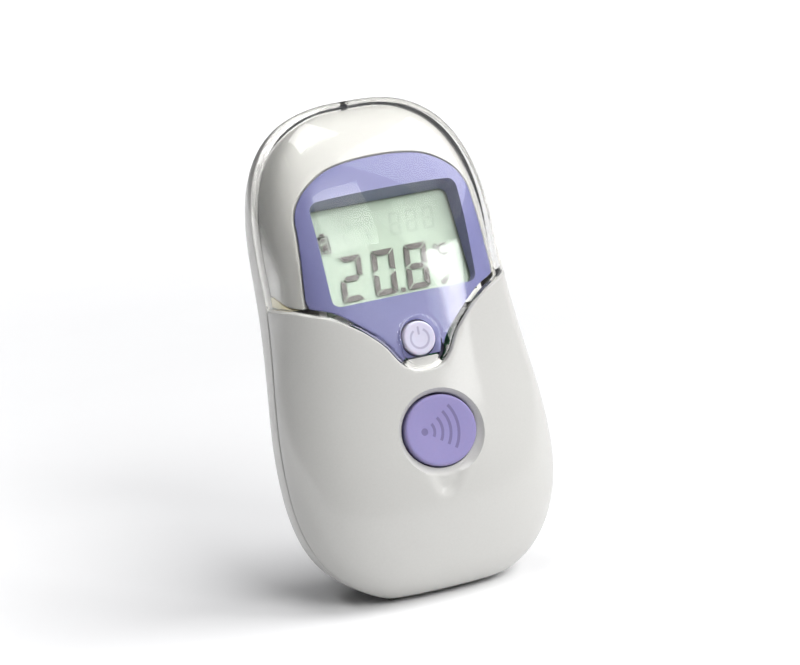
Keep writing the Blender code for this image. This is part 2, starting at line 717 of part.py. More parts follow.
def buzzer():
    profile = [(4.5, -3.4), (4.5, -0.3), (0.02, -0.3), (0.02, -2.6), (0.9, -2.6), (0.9, -3.4)]
    return ring_solid("buzzer", profile, (-8.0, 0.0, 19.5), count=28)


def sensor_can():
    """The thermopile: a flanged can that looks up through the sleeve."""
    profile = [(3.7, 84.6), (3.7, 85.2), (3.1, 85.2), (3.1, 88.6), (2.2, 89.0)]
    return spun("sensor_can", profile, (0.0, SENSOR_Y, 0.0), "Z", 24)


def sensor_sleeve():
    profile = [
        (4.4, 83.4), (4.4, 90.6), (3.5, 91.4), (3.5, 95.2), (2.95, 95.2), (2.95, 93.6), (2.2, 92.6), (2.2, 90.2),
        (3.4, 89.4), (3.4, 85.5), (4.0, 85.5), (4.0, 83.4),
    ]
    return ring_solid("sensor_sleeve", profile, (0.0, SENSOR_Y, 0.0), "Z", 28)


def sensor_window():
    return spun("sensor_window", [(2.65, 94.0), (2.65, 94.7), (1.8, 95.0)], (0.0, SENSOR_Y, 0.0), "Z", 24)


def sensor_bracket():
    """The plastic saddle that carries the sleeve off the board's top end."""
    saddle = box("sensor_bracket", (-6.0, 1.3, 76.0), (6.0, 8.8, 83.1))
    cut(saddle, box("hollow", (-4.6, 2.5, 74.0), (4.6, 7.6, 81.6)))
    return saddle


# --- cells and contacts ----------------------------------------------------------------------------------------------


def cell(name, x, upright):
    """An AAA cell, its raised end up or down."""
    low, high = CELL_Z, CELL_Z + CELL_LENGTH
    profile = [(CELL_RADIUS - 0.5, low), (CELL_RADIUS, low + 0.5), (CELL_RADIUS, high - 1.6), (CELL_RADIUS - 0.6, high - 1.0)]
    profile += [(1.9, high - 1.0), (1.9, high)]
    if not upright:
        profile = [(radius, low + high - z) for radius, z in profile][::-1]
    return spun(name, profile, (x, CELL_Y, 0.0), "Z", 28)


def coil(name, x, start, end):
    """A conical contact spring of round wire, standing on its own plate end."""
    turns, per_turn, sides, wire = 3.5, 12, 5, 0.3
    verts, faces = [], []
    steps = int(turns * per_turn)
    for step in range(steps + 1):
        share = step / steps
        turn = 2 * math.pi * turns * share
        radius = 3.2 - 1.2 * share
        height = start + (end - start) * share
        for k in range(sides):
            bend = 2 * math.pi * k / sides
            reach_out = radius + wire * math.cos(bend)
            spot = (x + reach_out * math.cos(turn), CELL_Y + reach_out * math.sin(turn), height + wire * math.sin(bend))
            verts.append(spot)
    for step in range(steps):
        for k in range(sides):
            a, b = step * sides + k, step * sides + (k + 1) % sides
            faces.append((a, b, b + sides, a + sides))
    faces.append(tuple(range(sides)))
    faces.append(tuple(steps * sides + k for k in range(sides)))
    return new_object(name, verts, faces)


def contact_plate(name, low_x, high_x, low_z, high_z):
    return box(name, (low_x, 4.4, low_z), (high_x, 12.8, high_z))


# --- buttons and screws ----------------------------------------------------------------------------------------------


def scan_button():
    """An oval cap with a slightly dished top, a retaining flange inside the cover and a stem to the switch."""
    face = -float(front_depth(np.array(SCAN_Z))) + 0.3
    rings = [
        (0.02, face + 0.25), (0.35, face + 0.22), (0.7, face + 0.12), (0.93, face), (1.0, face + 0.45),
        (1.0, -12.2), (1.12, -12.2), (1.12, -11.2), (0.02, -11.2),
    ]
    turn = np.linspace(0, 2 * math.pi, 40, endpoint=False)
    verts, faces = [], []
    for scale, y in rings:
        for angle in turn:
            verts.append((scale * SCAN_HALF_X * math.cos(angle), y, SCAN_Z + scale * SCAN_HALF_Z * math.sin(angle)))
    count = len(turn)
    for row in range(len(rings) - 1):
        for k in range(count):
            a, b = row * count + k, row * count + (k + 1) % count
            faces.append((a, b, b + count, a + count))
    faces.append(tuple(range(count)))
    faces.append(tuple((len(rings) - 1) * count + k for k in range(count)))
    cap = new_object("scan_button", verts, faces)
    return join(cap, spun("stem", [(2.0, -11.6), (2.0, -5.4)], (0, 0, SCAN_Z), count=20))


def power_button():
    top = -float(front_depth(np.array(POWER_Z))) + 0.9
    profile = [
        (POWER_RADIUS - 1.0, top + 0.1), (POWER_RADIUS - 0.35, top), (POWER_RADIUS, top + 0.4),
        (POWER_RADIUS, -11.2), (POWER_RADIUS + 0.9, -11.2), (POWER_RADIUS + 0.9, -10.3), (1.8, -10.3), (1.8, -5.4),
    ]
    return spun("power_button", profile, (0, 0, POWER_Z), count=32)


def screw(name, x, z):
    wall = abs(float(skin(angle_at(x, z), z)[1]))
    profile = [(1.0, -wall + 4.2), (1.0, 5.3), (1.95, 5.3), (1.95, 6.3), (1.4, 6.7)]
    body = spun(name, profile, (x, 0.0, z), count=16)
    cut(body, box("slot", (x - 1.0, 6.1, z - 0.2), (x + 1.0, 8.0, z + 0.2)))
    return cut(body, box("slot", (x - 0.2, 6.1, z - 1.0), (x + 0.2, 8.0, z + 1.0)))


# --- looks and assembly ----------------------------------------------------------------------------------------------

LOOKS = {
    "pearl_white_cover": ((0.80, 0.79, 0.75), 0.22, 0.15),
    "clear_polycarbonate": ((0.92, 0.93, 0.95), 0.05, 0.0),
    "white_head_plastic": ((0.82, 0.81, 0.77), 0.25, 0.0),
    "cream_filler": ((0.86, 0.80, 0.60), 0.5, 0.0),
    "lavender_plastic": ((0.33, 0.32, 0.62), 0.3, 0.0),
    "frosted_lavender": ((0.70, 0.69, 0.85), 0.3, 0.0),
    "display_glass": ((0.55, 0.62, 0.50), 0.15, 0.0),
    "diffuser_white": ((0.90, 0.90, 0.88), 0.5, 0.0),
    "natural_plastic": ((0.75, 0.75, 0.72), 0.5, 0.0),
    "conductive_rubber": ((0.05, 0.05, 0.05), 0.8, 0.0),
    "board_green": ((0.03, 0.20, 0.08), 0.4, 0.0),
    "chip_black": ((0.03, 0.03, 0.03), 0.5, 0.0),
    "plated_steel": ((0.75, 0.75, 0.76), 0.3, 1.0),
    "sensor_gold": ((0.85, 0.65, 0.30), 0.25, 1.0),
    "window_silicon": ((0.20, 0.21, 0.23), 0.1, 0.3),
    "cell_jacket": ((0.10, 0.25, 0.45), 0.35, 0.2),
}


def material(name):
    colour, roughness, metallic = LOOKS[name]
    found = bpy.data.materials.get(name) or bpy.data.materials.new(name)
    found.use_nodes = True
    shader = found.node_tree.nodes["Principled BSDF"]
    shader.inputs["Base Color"].default_value = (*colour, 1.0)
    shader.inputs["Roughness"].default_value = roughness
    shader.inputs["Metallic"].default_value = metallic
    found.diffuse_color = (*colour, 1.0)
    return found


def build():
    made = [
        (front_cover(), "pearl_white_cover"),
        (rear_cover(), "pearl_white_cover"),
        (battery_door(), "pearl_white_cover"),
        (clear_shell(), "clear_polycarbonate"),
        (head_liner(), "white_head_plastic"),
        (seam_filler(-1), "cream_filler"),
        (seam_filler(1), "cream_filler"),
        (display_bezel(), "lavender_plastic"),
        (lcd_glass(), "display_glass"),
        (lcd_diffuser(), "diffuser_white"),
        (lcd_carrier(), "natural_plastic"),
        (contact_strip(), "conductive_rubber"),
        (main_board(), "board_green"),
        (switch_body("scan_switch", SCAN_Z, 3.0, 4.2), "chip_black"),
        (plunger("scan_plunger", SCAN_Z, -5.1, -2.6), "natural_plastic"),
        (switch_body("power_switch", POWER_Z, 3.0, 4.2), "chip_black"),
        (plunger("power_plunger", POWER_Z, -5.1, -2.6), "natural_plastic"),
        (chip("controller_chip", (0.0, 70.0), 5.0, 5.0, 1.2), "chip_black"),
        (chip("memory_chip", (9.0, 41.0), 2.0, 2.6, 1.2), "chip_black"),
        (chip("clock_crystal", (-9.0, 41.0), 1.8, 3.6, 1.6), "plated_steel"),
        (buzzer(), "chip_black"),
        (sensor_can(), "plated_steel"),
        (sensor_sleeve(), "sensor_gold"),
        (sensor_window(), "window_silicon"),
        (sensor_bracket(), "natural_plastic"),
        (cell("cell_left", -CELL_X, True), "cell_jacket"),
        (cell("cell_right", CELL_X, False), "cell_jacket"),
        (coil("contact_spring_left", -CELL_X, 6.5, CELL_Z - 0.7), "plated_steel"),
        (contact_plate("contact_plate_right", CELL_X - 3.4, CELL_X + 4.2, CELL_Z - 0.8, CELL_Z - 0.4), "plated_steel"),
        (contact_plate("contact_bridge", -CELL_X - 4.2, CELL_X + 4.2, CELL_Z + CELL_LENGTH + 0.4, CELL_Z + CELL_LENGTH + 0.8), "plated_steel"),
        (scan_button(), "lavender_plastic"),
        (power_button(), "frosted_lavender"),
    ]
    places = ("lower_left", "lower_right", "upper_left", "upper_right")
    for place, (x, z) in zip(places, SCREW_SPOTS):
        made.append((screw(f"screw_{place}", x, z), "plated_steel"))
    return made


def stand(made):
    """Scales the pieces to metres with each one's origin in its middle, so that a button's is on the axis it travels
    along, and hangs them on an empty that leans back and stands on the floor, centred."""
    turn = Matrix.Rotation(-LEAN, 4, "X")
    points = np.array([turn @ vertex.co for obj, _ in made for vertex in obj.data.vertices])
    low, high = points.min(axis=0), points.max(axis=0)
    leaning = bpy.data.objects.new("leaning_body", None)
    leaning.rotation_euler = (-LEAN, 0.0, 0.0)
    leaning.location = (0.0, -float(low[1] + high[1]) / 2000, -float(low[2]) / 1000)
    bpy.context.scene.collection.objects.link(leaning)
    for obj, look in made:
        corners = np.array([vertex.co for vertex in obj.data.vertices])
        middle = Vector((corners.min(axis=0) + corners.max(axis=0)) / 2)
        obj.data.transform(Matrix.Scale(0.001, 4) @ Matrix.Translation(-middle))
        obj.location = middle * 0.001
        obj.parent = leaning
        obj.data.materials.clear()
        obj.data.materials.append(material(look))
        for polygon in obj.data.polygons:
            polygon.material_index = 0
            polygon.use_smooth = True
        obj.data.set_sharp_from_angle(angle=math.radians(35.0))


for old in list(bpy.data.objects):
    bpy.data.objects.remove(old)
stand(build())
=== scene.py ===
"""Looks for the handheld infrared thermometer: fine meshes for every piece that shows, materials, light and camera.

Shapes are worked out in millimetres in the body's own frame (x lateral, -y towards the user, z along the body), the
same frame that the CAD source uses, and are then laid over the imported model."""

import math

import bmesh
import bpy
import numpy as np
from mathutils import Matrix, Vector
from mathutils.geometry import delaunay_2d_cdt


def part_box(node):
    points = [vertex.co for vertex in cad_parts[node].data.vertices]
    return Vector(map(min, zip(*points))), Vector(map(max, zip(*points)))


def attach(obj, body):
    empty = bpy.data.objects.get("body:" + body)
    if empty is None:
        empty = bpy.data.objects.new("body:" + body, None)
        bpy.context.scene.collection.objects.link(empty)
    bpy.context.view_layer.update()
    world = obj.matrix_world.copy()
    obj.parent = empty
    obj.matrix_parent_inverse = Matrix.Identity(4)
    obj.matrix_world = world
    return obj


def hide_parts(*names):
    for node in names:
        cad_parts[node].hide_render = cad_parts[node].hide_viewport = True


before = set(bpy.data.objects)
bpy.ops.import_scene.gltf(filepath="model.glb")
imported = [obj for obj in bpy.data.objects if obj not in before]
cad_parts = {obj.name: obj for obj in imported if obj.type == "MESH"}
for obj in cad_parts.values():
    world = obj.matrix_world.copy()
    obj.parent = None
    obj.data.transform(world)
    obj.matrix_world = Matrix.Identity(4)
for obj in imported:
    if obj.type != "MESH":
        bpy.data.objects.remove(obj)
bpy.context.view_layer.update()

# --- driving dimensions, mm, the same as the CAD source's -----------------------------------------------------------

LENGTH = 100.0
BELLY_Z = 28.0
WAIST_Z = 66.0
BELLY_HALF_WIDTH = 28.8
HEAD_HALF_WIDTH = 25.3
BELLY_FRONT = 15.6
HEAD_FRONT = 14.6
BELLY_REAR = 19.5
HEAD_REAR = 14.0
LEAN = math.radians(13.0)
BELLY_SQUARENESS = 0.03
HEAD_SQUARENESS = 0.06
PARTING = 0.15
WALL = 2.0
SHELL_WALL = 1.6
LINER_DEPTH = 1.95
LINER_WALL = 1.25
LINER_BACK = LINER_DEPTH + LINER_WALL
BASE_FADE = 15.0

SEAM = (
    (0.0, 43.4), (3.0, 43.9), (5.5, 46.0), (7.4, 49.0), (10.5, 52.3),
    (14.0, 55.0), (18.0, 57.3), (21.5, 58.7), (24.0, 60.0),
)
SEAM_LIMB_Z = 61.5
SEAM_GAP = 0.18

SCAN_Z = 31.0
SCAN_HALF_X = 7.75
SCAN_HALF_Z = 7.15
SCAN_CLEARANCE = 0.28
CRATER_DEPTH = 1.3
CRATER_Z = SCAN_Z - 0.4
CRATER_HALF_X = SCAN_HALF_X + 1.6
CRATER_HALF_Z = SCAN_HALF_Z + 1.7
CRATER_FLAT = 0.83
TAIL_TIP_Z = SCAN_Z - 13.6
TAIL_DEPTH = 0.6
TAIL_SWAY = -1.2

POWER_Z = 49.8
POWER_RADIUS = 3.45
SLOT_HALF_X = 4.3
SLOT_BOTTOM_Z = 44.3
SLOT_TOP_Z = 54.4
SILL_HALF_X = 3.7
SILL_LOW_Z = 41.5
SILL_TOP_Z = 46.0
SILL_GAP = 0.3

BEZEL_HALF_BOTTOM = 22.5
BEZEL_HALF_TOP = 20.9
BEZEL_SHOULDER_Z = 76.0
BEZEL_TOP_Z = 88.6
BEZEL_SEAM_INSET = 0.9

LCD_CENTRE = (0.0, -7.6, 68.7)
LCD_TILT = math.radians(11.0)
LCD_HALF_X = 15.5
LCD_HALF_Z = 10.1
CELL_HALF_X = 16.2
CELL_HALF_Z = 11.2
WINDOW_DRAFT = 0.14
WINDOW_CORNER = 1.8

SCREW_SPOTS = ((-18.5, 15.0), (18.5, 15.0), (-20.5, 51.0), (20.5, 51.0))
BAY_HALF_X = 12.0
BAY_BOTTOM = 5.2
BAY_TOP = 57.0
DOOR_HALF_X = 13.4
DOOR_BOTTOM = 6.4
DOOR_TOP = 58.4
SENSOR_Y = 4.6
BOARD_TOP_Z = 82.6
BOARD_THICK = 1.0

# The sheet that the shells are cut from has this many millimetres to a radian of section angle
DOMAIN = 22.0

# Fineness of the visible meshes, mm
FINE = 0.8
COARSE = 1.3
CROWN_EDGE_STEP = 6.0
LIP = 0.3

# The body frame stands in the room leaning back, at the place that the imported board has
STAND = Matrix.Rotation(-LEAN, 4, "X")
board_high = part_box("main_board")[1] * 1000
STAND_SHIFT = (
    0.0,
    board_high.y - BOARD_THICK * math.cos(LEAN) - BOARD_TOP_Z * math.sin(LEAN),
    board_high.z - BOARD_TOP_Z * math.cos(LEAN),
)
TO_ROOM = Matrix.Scale(0.001, 4) @ Matrix.Translation(STAND_SHIFT) @ STAND


# --- the body's surface -----------------------------------------------------------------------------------------------


def smooth(low, high, value):
    part = np.clip((value - low) / (high - low), 0, 1)
    return part * part * (3 - 2 * part)


def crown(z):
    """How far up the rounded head a height is, from 0 at the waist to 1 at the top."""
    return np.clip((z - WAIST_Z) / (LENGTH - WAIST_Z), 0, 1)


def reach(z, belly, head, drop, power, round_power, start, end):
    """One profile of the body: a rounded bottom, a smooth change from belly to head and a rounded top."""
    low = np.clip((BELLY_Z - z) / drop, 0, 1)
    bottom = belly * np.power(np.clip(1 - np.power(low, power), 0, 1), 1 / power)
    side = belly - (belly - head) * smooth(start, end, z)
    top = np.power(np.clip(1 - np.power(crown(z), round_power), 0, 1), 1 / round_power)
    return np.where(z < BELLY_Z, bottom, side * top)


def half_width(z, inset=0.0):
    return reach(z, BELLY_HALF_WIDTH - inset, HEAD_HALF_WIDTH - inset, 29.7, 2.5, 2.8, BELLY_Z, WAIST_Z)


def front_depth(z, inset=0.0):
    return reach(z, BELLY_FRONT - inset, HEAD_FRONT - inset, 28.3, 2.2, 2.0, BELLY_Z, WAIST_Z)


def rear_depth(z, inset=0.0):
    return reach(z, BELLY_REAR - inset, HEAD_REAR - inset, 60.0, 2.2, 3.0, 34.0, 84.0)


def squareness(z):
    return BELLY_SQUARENESS + (HEAD_SQUARENESS - BELLY_SQUARENESS) * smooth(40.0, WAIST_Z, z)


def across(theta, z):
    return (np.sin(theta) + squareness(z) * np.sin(3 * theta)) / (1 - squareness(z))


def along(theta, z):
    return (np.cos(theta) - squareness(z) * np.cos(3 * theta)) / (1 - squareness(z))


def base_lift(y, z):
    """The body's lowest sections tip so that the base is level when the body leans back."""
    return z + y * math.tan(LEAN) * np.clip(1 - z / BASE_FADE, 0, 1) ** 2


def skin(theta, z, inset=0.0, rear=False):
    """Points of the body's surface, or of one lying inset millimetres inside it."""
    theta, z = np.broadcast_arrays(np.asarray(theta, float), np.asarray(z, float))
    depth = rear_depth if rear else front_depth
    x = half_width(z, inset) * across(theta, z)
    y = (PARTING + depth(z, inset) * along(theta, z)) * (1 if rear else -1)
    height = np.where(z > WAIST_Z, z - inset * crown(z), z)
    return np.stack([x, y, base_lift(y, height)], -1)


def angle_at(x, z, inset=0.0):
    """The section angle that gives this x, by Newton's method."""
    square = squareness(np.asarray(z, float))
    goal = np.clip(np.asarray(x, float) / half_width(np.asarray(z, float), inset), -1, 1) * (1 - square)
    sine = goal.copy()
    for _ in range(30):
        error = sine * (1 + 3 * square) - 4 * square * sine**3 - goal
        sine = np.clip(sine - error / (1 + 3 * square - 12 * square * sine**2), -1, 1)
    return np.arcsin(sine)


HEIGHTS = np.concatenate([np.linspace(0, 96, 400), LENGTH - np.geomspace(4, 0.0004, 500)])
RUN = np.concatenate([[0], np.cumsum(np.hypot(np.diff(HEIGHTS), np.diff(half_width(HEIGHTS))))])
LIMB = DOMAIN * math.pi / 2


def to_run(z):
    """The sheet's upward coordinate, which is the length along the body's outline."""
    return np.interp(z, HEIGHTS, RUN)


def to_height(run):
    return np.interp(run, RUN, HEIGHTS)


CROWN_RUN = float(to_run(LENGTH - 0.001))


def flat(x, z, inset=0.0):
    """Points given by x and height, in the developed sheet that the shells are cut from."""
    x, z = np.broadcast_arrays(np.asarray(x, float), np.asarray(z, float))
    return np.stack([DOMAIN * angle_at(x, z, inset), to_run(z)], -1)


def on_skin(inset, rear=False, drop=None):
    """A function that lays sheet points on the body's surface, moved in by drop."""

    def place(sheet):
        z = to_height(sheet[:, 1])
        theta = sheet[:, 0] / DOMAIN
        if inset:
            outer_x, inner_x = skin(theta, z, 0.0, rear)[:, 0], skin(theta, z, inset, rear)[:, 0]
            share = np.maximum(smooth(0.35, 0.7, np.abs(outer_x) / half_width(z)), smooth(0.75, 0.95, crown(z)))
            theta = angle_at(outer_x * (1 - share) + inner_x * share, z, inset)
        points = skin(theta, z, inset, rear)
        if drop is not None:
            points[:, 1] += drop(points[:, 0], points[:, 2])
        return points

    return place


def crater(x, z):
    """The dish round the scan button, with a soft triangular tail below it."""
    ring = np.hypot(x / CRATER_HALF_X, (z - CRATER_Z) / CRATER_HALF_Z)
    dish = CRATER_DEPTH * (1 - np.clip((ring - CRATER_FLAT) / (1 - CRATER_FLAT), 0, 1) ** 1.6)
    start = CRATER_Z - 5.0
    down = np.clip((start - z) / (start - TAIL_TIP_Z), 0, 1)
    aside = np.abs(x - TAIL_SWAY * down) / (5.6 * (1 - down) + 1.3)
    dimple = TAIL_DEPTH * (1 - smooth(0.4, 1.0, aside)) * (1 - smooth(0.7, 1.0, down))
    return np.where(z < start, np.maximum(dish, dimple), dish)


# --- outlines ---------------------------------------------------------------------------------------------------------


def resampled(points, step, closed=False):
    points = np.asarray(points, float)
    if closed:
        points = np.concatenate([points, points[:1]])
    lengths = np.concatenate([[0], np.cumsum(np.hypot(*np.diff(points, axis=0).T))])
    count = max(2, int(round(lengths[-1] / step)) + 1)
    at = np.linspace(0, lengths[-1], count)
    out = np.stack([np.interp(at, lengths, points[:, 0]), np.interp(at, lengths, points[:, 1])], -1)
    return out[:-1] if closed else out


def subdivided(points, step):
    """A closed outline with its corners kept and its long sides divided."""
    points = np.asarray(points, float)
    out = []
    for here, there in zip(points, np.roll(points, -1, axis=0)):
        count = max(1, int(round(np.hypot(*(there - here)) / step)))
        out += [here + (there - here) * k / count for k in range(count)]
    return np.array(out)


def shifted(points, distance):
    """A polyline moved sideways, to the left of its direction."""
    slope = np.gradient(points, axis=0)
    slope /= np.linalg.norm(slope, axis=1)[:, None]
    return points + distance * np.stack([-slope[:, 1], slope[:, 0]], -1)


def seam_line(offset, step=FINE):
    """The line between head and front cover in the sheet, from the left limb to the right, moved up by offset."""
    xs, zs = np.array(SEAM).T
    fine = np.linspace(0, xs[-1], 200)
    slopes = np.gradient(zs, xs)
    slopes[0] = 0
    index = np.clip(np.searchsorted(xs, fine, side="right") - 1, 0, len(xs) - 2)
    width = xs[index + 1] - xs[index]
    part = (fine - xs[index]) / width
    rise = (2 * part**3 - 3 * part**2 + 1) * zs[index] + (part**3 - 2 * part**2 + part) * width * slopes[index]
    rise += (3 * part**2 - 2 * part**3) * zs[index + 1] + (part**3 - part**2) * width * slopes[index + 1]
    right = np.concatenate([flat(fine, rise), [[LIMB, float(to_run(SEAM_LIMB_Z))]]])
    whole = np.concatenate([right[:0:-1] * (-1, 1), right])
    whole = shifted(resampled(whole, step), offset)
    whole[0, 0], whole[-1, 0] = -LIMB, LIMB
    return whole


def over_the_crown(start):
    """The sheet's right side from a height up, its top edge, and its left side back down."""
    right = resampled([(LIMB, start), (LIMB, CROWN_RUN)], FINE)
    top = resampled([(LIMB, CROWN_RUN), (-LIMB, CROWN_RUN)], CROWN_EDGE_STEP)
    return right, top, right[::-1] * (-1, 1)


def ellipse(centre, half_x, half_z, count):
    turn = np.linspace(0, 2 * math.pi, count, endpoint=False)
    return np.stack([centre[0] + half_x * np.cos(turn), centre[1] + half_z * np.sin(turn)], -1)


def slot_outline(half_x, bottom, top, count):
    """A slot with round ends, as x and height."""
    turn = np.linspace(0, math.pi, count)
    upper = np.stack([half_x * np.cos(turn), top - half_x + half_x * np.sin(turn)], -1)
    lower = np.stack([-half_x * np.cos(turn), bottom + half_x * 0.8 - half_x * 0.8 * np.sin(turn)], -1)
    return np.concatenate([upper, lower])


def arch_line(grow, step=FINE):
    """The display bezel's outline above the seam, from the right foot over the top to the left foot."""
    turn = np.linspace(0, math.pi / 2, 60)
    side_z = np.linspace(56.0, BEZEL_SHOULDER_Z, 40)
    share = (side_z - side_z[0]) / (side_z[-1] - side_z[0])
    side_x = BEZEL_HALF_BOTTOM + (BEZEL_HALF_TOP - BEZEL_HALF_BOTTOM) * share + grow
    round_x = (BEZEL_HALF_TOP + grow) * np.cos(turn) ** (2 / 2.3)
    round_z = BEZEL_SHOULDER_Z + (BEZEL_TOP_Z + grow - BEZEL_SHOULDER_Z) * np.sin(turn) ** (2 / 2.3)
    right = np.concatenate([np.stack([side_x, side_z], -1), np.stack([round_x, round_z], -1)[1:]])
    whole = np.concatenate([right, right[-2::-1] * (-1, 1)])
    return resampled(flat(*whole.T), step)


def rounded(half_x, half_z, radius, centre=(0.0, 0.0), steps=10):
    points = []
    for sx, sz, start in ((1, 1, 0), (-1, 1, 90), (-1, -1, 180), (1, -1, 270)):
        for k in range(steps + 1):
            turn = math.radians(start + 90 * k / steps)
            x = centre[0] + sx * (half_x - radius) + radius * math.cos(turn)
            points.append((x, centre[1] + sz * (half_z - radius) + radius * math.sin(turn)))
    return np.array(points)


def stroke(path, width):
    """The outline of a line of a given width along a path."""
    path = np.asarray(path, float)
    left, right = shifted(path, width / 2), shifted(path, -width / 2)
    return np.concatenate([right, left[::-1]])


def arc(centre, radius, start, end, count=24):
    turn = np.radians(np.linspace(start, end, count))
    return np.stack([centre[0] + radius * np.cos(turn), centre[1] + radius * np.sin(turn)], -1)


# --- meshes -----------------------------------------------------------------------------------------------------------


def inside(points, loops):
    hit = np.zeros(len(points), bool)
    for loop in loops:
        after = np.roll(loop, -1, axis=0)
        for (x0, y0), (x1, y1) in zip(loop, after):
            spans = (y0 > points[:, 1]) != (y1 > points[:, 1])
            if y0 != y1:
                cross = (x1 - x0) * (points[:, 1] - y0) / (y1 - y0) + x0
                hit ^= spans & (points[:, 0] < cross)
    return hit


def rim_distance(points, loops):
    """How far each point is from the nearest of the loops' edges."""
    best = np.full(len(points), np.inf)
    for loop in loops:
        for start, end in zip(loop, np.roll(loop, -1, axis=0)):
            edge = end - start
            share = np.clip(((points - start) @ edge) / max(edge @ edge, 1e-12), 0, 1)
            best = np.minimum(best, np.hypot(*(points - start - share[:, None] * edge).T))
    return best


RING_SHARES = (0.05, 0.2, 0.45, 0.75, 1.1)
CRATER_RINGS = (0.92, 0.96, 1.0, 1.04)


def beside(loop, distance):
    """Points at a distance on both sides of a loop."""
    after, before = np.roll(loop, -1, axis=0), np.roll(loop, 1, axis=0)
    slope = after - before
    slope /= np.maximum(np.linalg.norm(slope, axis=1), 1e-9)[:, None]
    side = np.stack([-slope[:, 1], slope[:, 0]], -1) * distance
    return np.concatenate([loop + side, loop - side])


def filled(loops, step, lip=0.0, marks=()):
    """A triangulation of the sheet inside the loops: points (loops first), triangles, and which mark each lies in."""
    rim = np.concatenate([*loops, *marks])
    low, high = rim.min(axis=0), rim.max(axis=0)
    rows = np.arange(low[1] + step / 2, high[1], step * 0.87)
    grid = [
        np.stack([np.arange(low[0] + step * (0.5 if row % 2 else 1.0), high[0], step)] * 2, -1) * (1, 0) + (0, y)
        for row, y in enumerate(rows)
    ]
    grid = np.concatenate(grid)
    lines = [*loops, *marks]
    grid = grid[inside(grid, loops)]
    grid = grid[rim_distance(grid, lines) > max(0.5 * step, 1.35 * lip)]
    extra = []
    for share in RING_SHARES if lip else ():
        ring = np.concatenate([beside(loop, share * lip) for loop in loops])
        ring = ring[inside(ring, loops)]
        extra.append(ring[rim_distance(ring, loops) > 0.93 * share * lip])
    points = np.concatenate([rim, grid, *extra])
    edges = []
    start = 0
    for loop in lines:
        count = len(loop)
        edges += [(start + i, start + (i + 1) % count) for i in range(count)]
        start += count
    _, _, faces, origin, _, _ = delaunay_2d_cdt([tuple(point) for point in points], edges, [], 0, 1e-6, True)
    names = [ids[0] for ids in origin]
    faces = np.array([[names[i] for i in face] for face in faces])
    middle = points[faces].mean(axis=1)
    faces = faces[inside(middle, loops)]
    middle = points[faces].mean(axis=1)
    marked = inside(middle, marks) if marks else np.zeros(len(faces), bool)
    return points, faces, marked


def face_outward(mesh):
    shape = bmesh.new()
    shape.from_mesh(mesh)
    bmesh.ops.recalc_face_normals(shape, faces=shape.faces)
    shape.to_mesh(mesh)
    shape.free()


def new_object(name, verts, faces):
    mesh = bpy.data.meshes.new(name)
    mesh.from_pydata([tuple(map(float, v)) for v in verts], [], [tuple(map(int, f)) for f in faces])
    face_outward(mesh)
    obj = bpy.data.objects.new(name, mesh)
    bpy.context.scene.collection.objects.link(obj)
    return obj


def surface_normals(place, sheet):
    """Outward unit normals of a laid surface, from small steps across the sheet."""
    step = 0.02
    across_step = place(sheet + (step, 0)) - place(sheet - (step, 0))
    along_step = place(sheet + (0, step)) - place(sheet - (0, step))
    normal = np.cross(across_step, along_step)
    normal /= np.maximum(np.linalg.norm(normal, axis=1), 1e-12)[:, None]
    spot = place(sheet)
    outward = np.stack([spot[:, 0], spot[:, 1], 0 * spot[:, 0]], -1)
    flip = np.where((normal * outward).sum(axis=1) < 0, -1.0, 1.0)
    return normal * flip[:, None]


def shell(name, loops, step, outer, inner, lip=LIP, creases=()):
    """A closed shell: the sheet inside the loops laid on two surfaces and joined along every loop, with its outer rims
    rounded. Its inner faces have material 1."""
    sheet, faces, _ = filled(loops, step, lip, creases)
    top, under = outer(sheet), inner(sheet)
    short = np.clip(lip - rim_distance(sheet, loops), 0, lip)
    sink = lip - np.sqrt(np.maximum(lip**2 - short**2, 0))
    top = top - surface_normals(outer, sheet) * sink[:, None]
    count = len(sheet)
    polygons = [tuple(face) for face in faces]
    polygons += [tuple(count + face[::-1]) for face in faces]
    start = 0
    for loop in loops:
        size = len(loop)
        for i in range(size):
            here, there = start + i, start + (i + 1) % size
            polygons.append((there, here, count + here, count + there))
        start += size
    made = new_object(name, np.concatenate([top, under]), polygons)
    for index in range(len(faces), 2 * len(faces)):
        made.data.polygons[index].material_index = 1
    return made


def turned(name, profile, centre, axis="Y", count=64, closed=False):
    """A solid of revolution from (radius, distance) pairs along an axis. A closed profile's last pair joins its
    first."""
    verts, faces = [], []
    for radius, distance in profile:
        for k in range(count):
            turn = 2 * math.pi * k / count
            a, b = radius * math.cos(turn), radius * math.sin(turn)
            spot = (a, distance, b) if axis == "Y" else (a, b, distance)
            verts.append([centre[i] + spot[i] for i in range(3)])
    rows = len(profile)
    for row in range(rows if closed else rows - 1):
        for k in range(count):
            a, b = row * count + k, row * count + (k + 1) % count
            c, d = ((row + 1) % rows) * count + (k + 1) % count, ((row + 1) % rows) * count + k
            faces.append((a, b, c, d))
    if not closed:
        faces.append(tuple(range(count)))
        faces.append(tuple((rows - 1) * count + k for k in range(count)))
    return new_object(name, verts, faces)


def block(name, low, high):
    corners = [(x, y, z) for z in (low[2], high[2]) for y in (low[1], high[1]) for x in (low[0], high[0])]
    faces = [(0, 2, 3, 1), (4, 5, 7, 6), (0, 1, 5, 4), (2, 6, 7, 3), (0, 4, 6, 2), (1, 3, 7, 5)]
    return new_object(name, corners, faces)


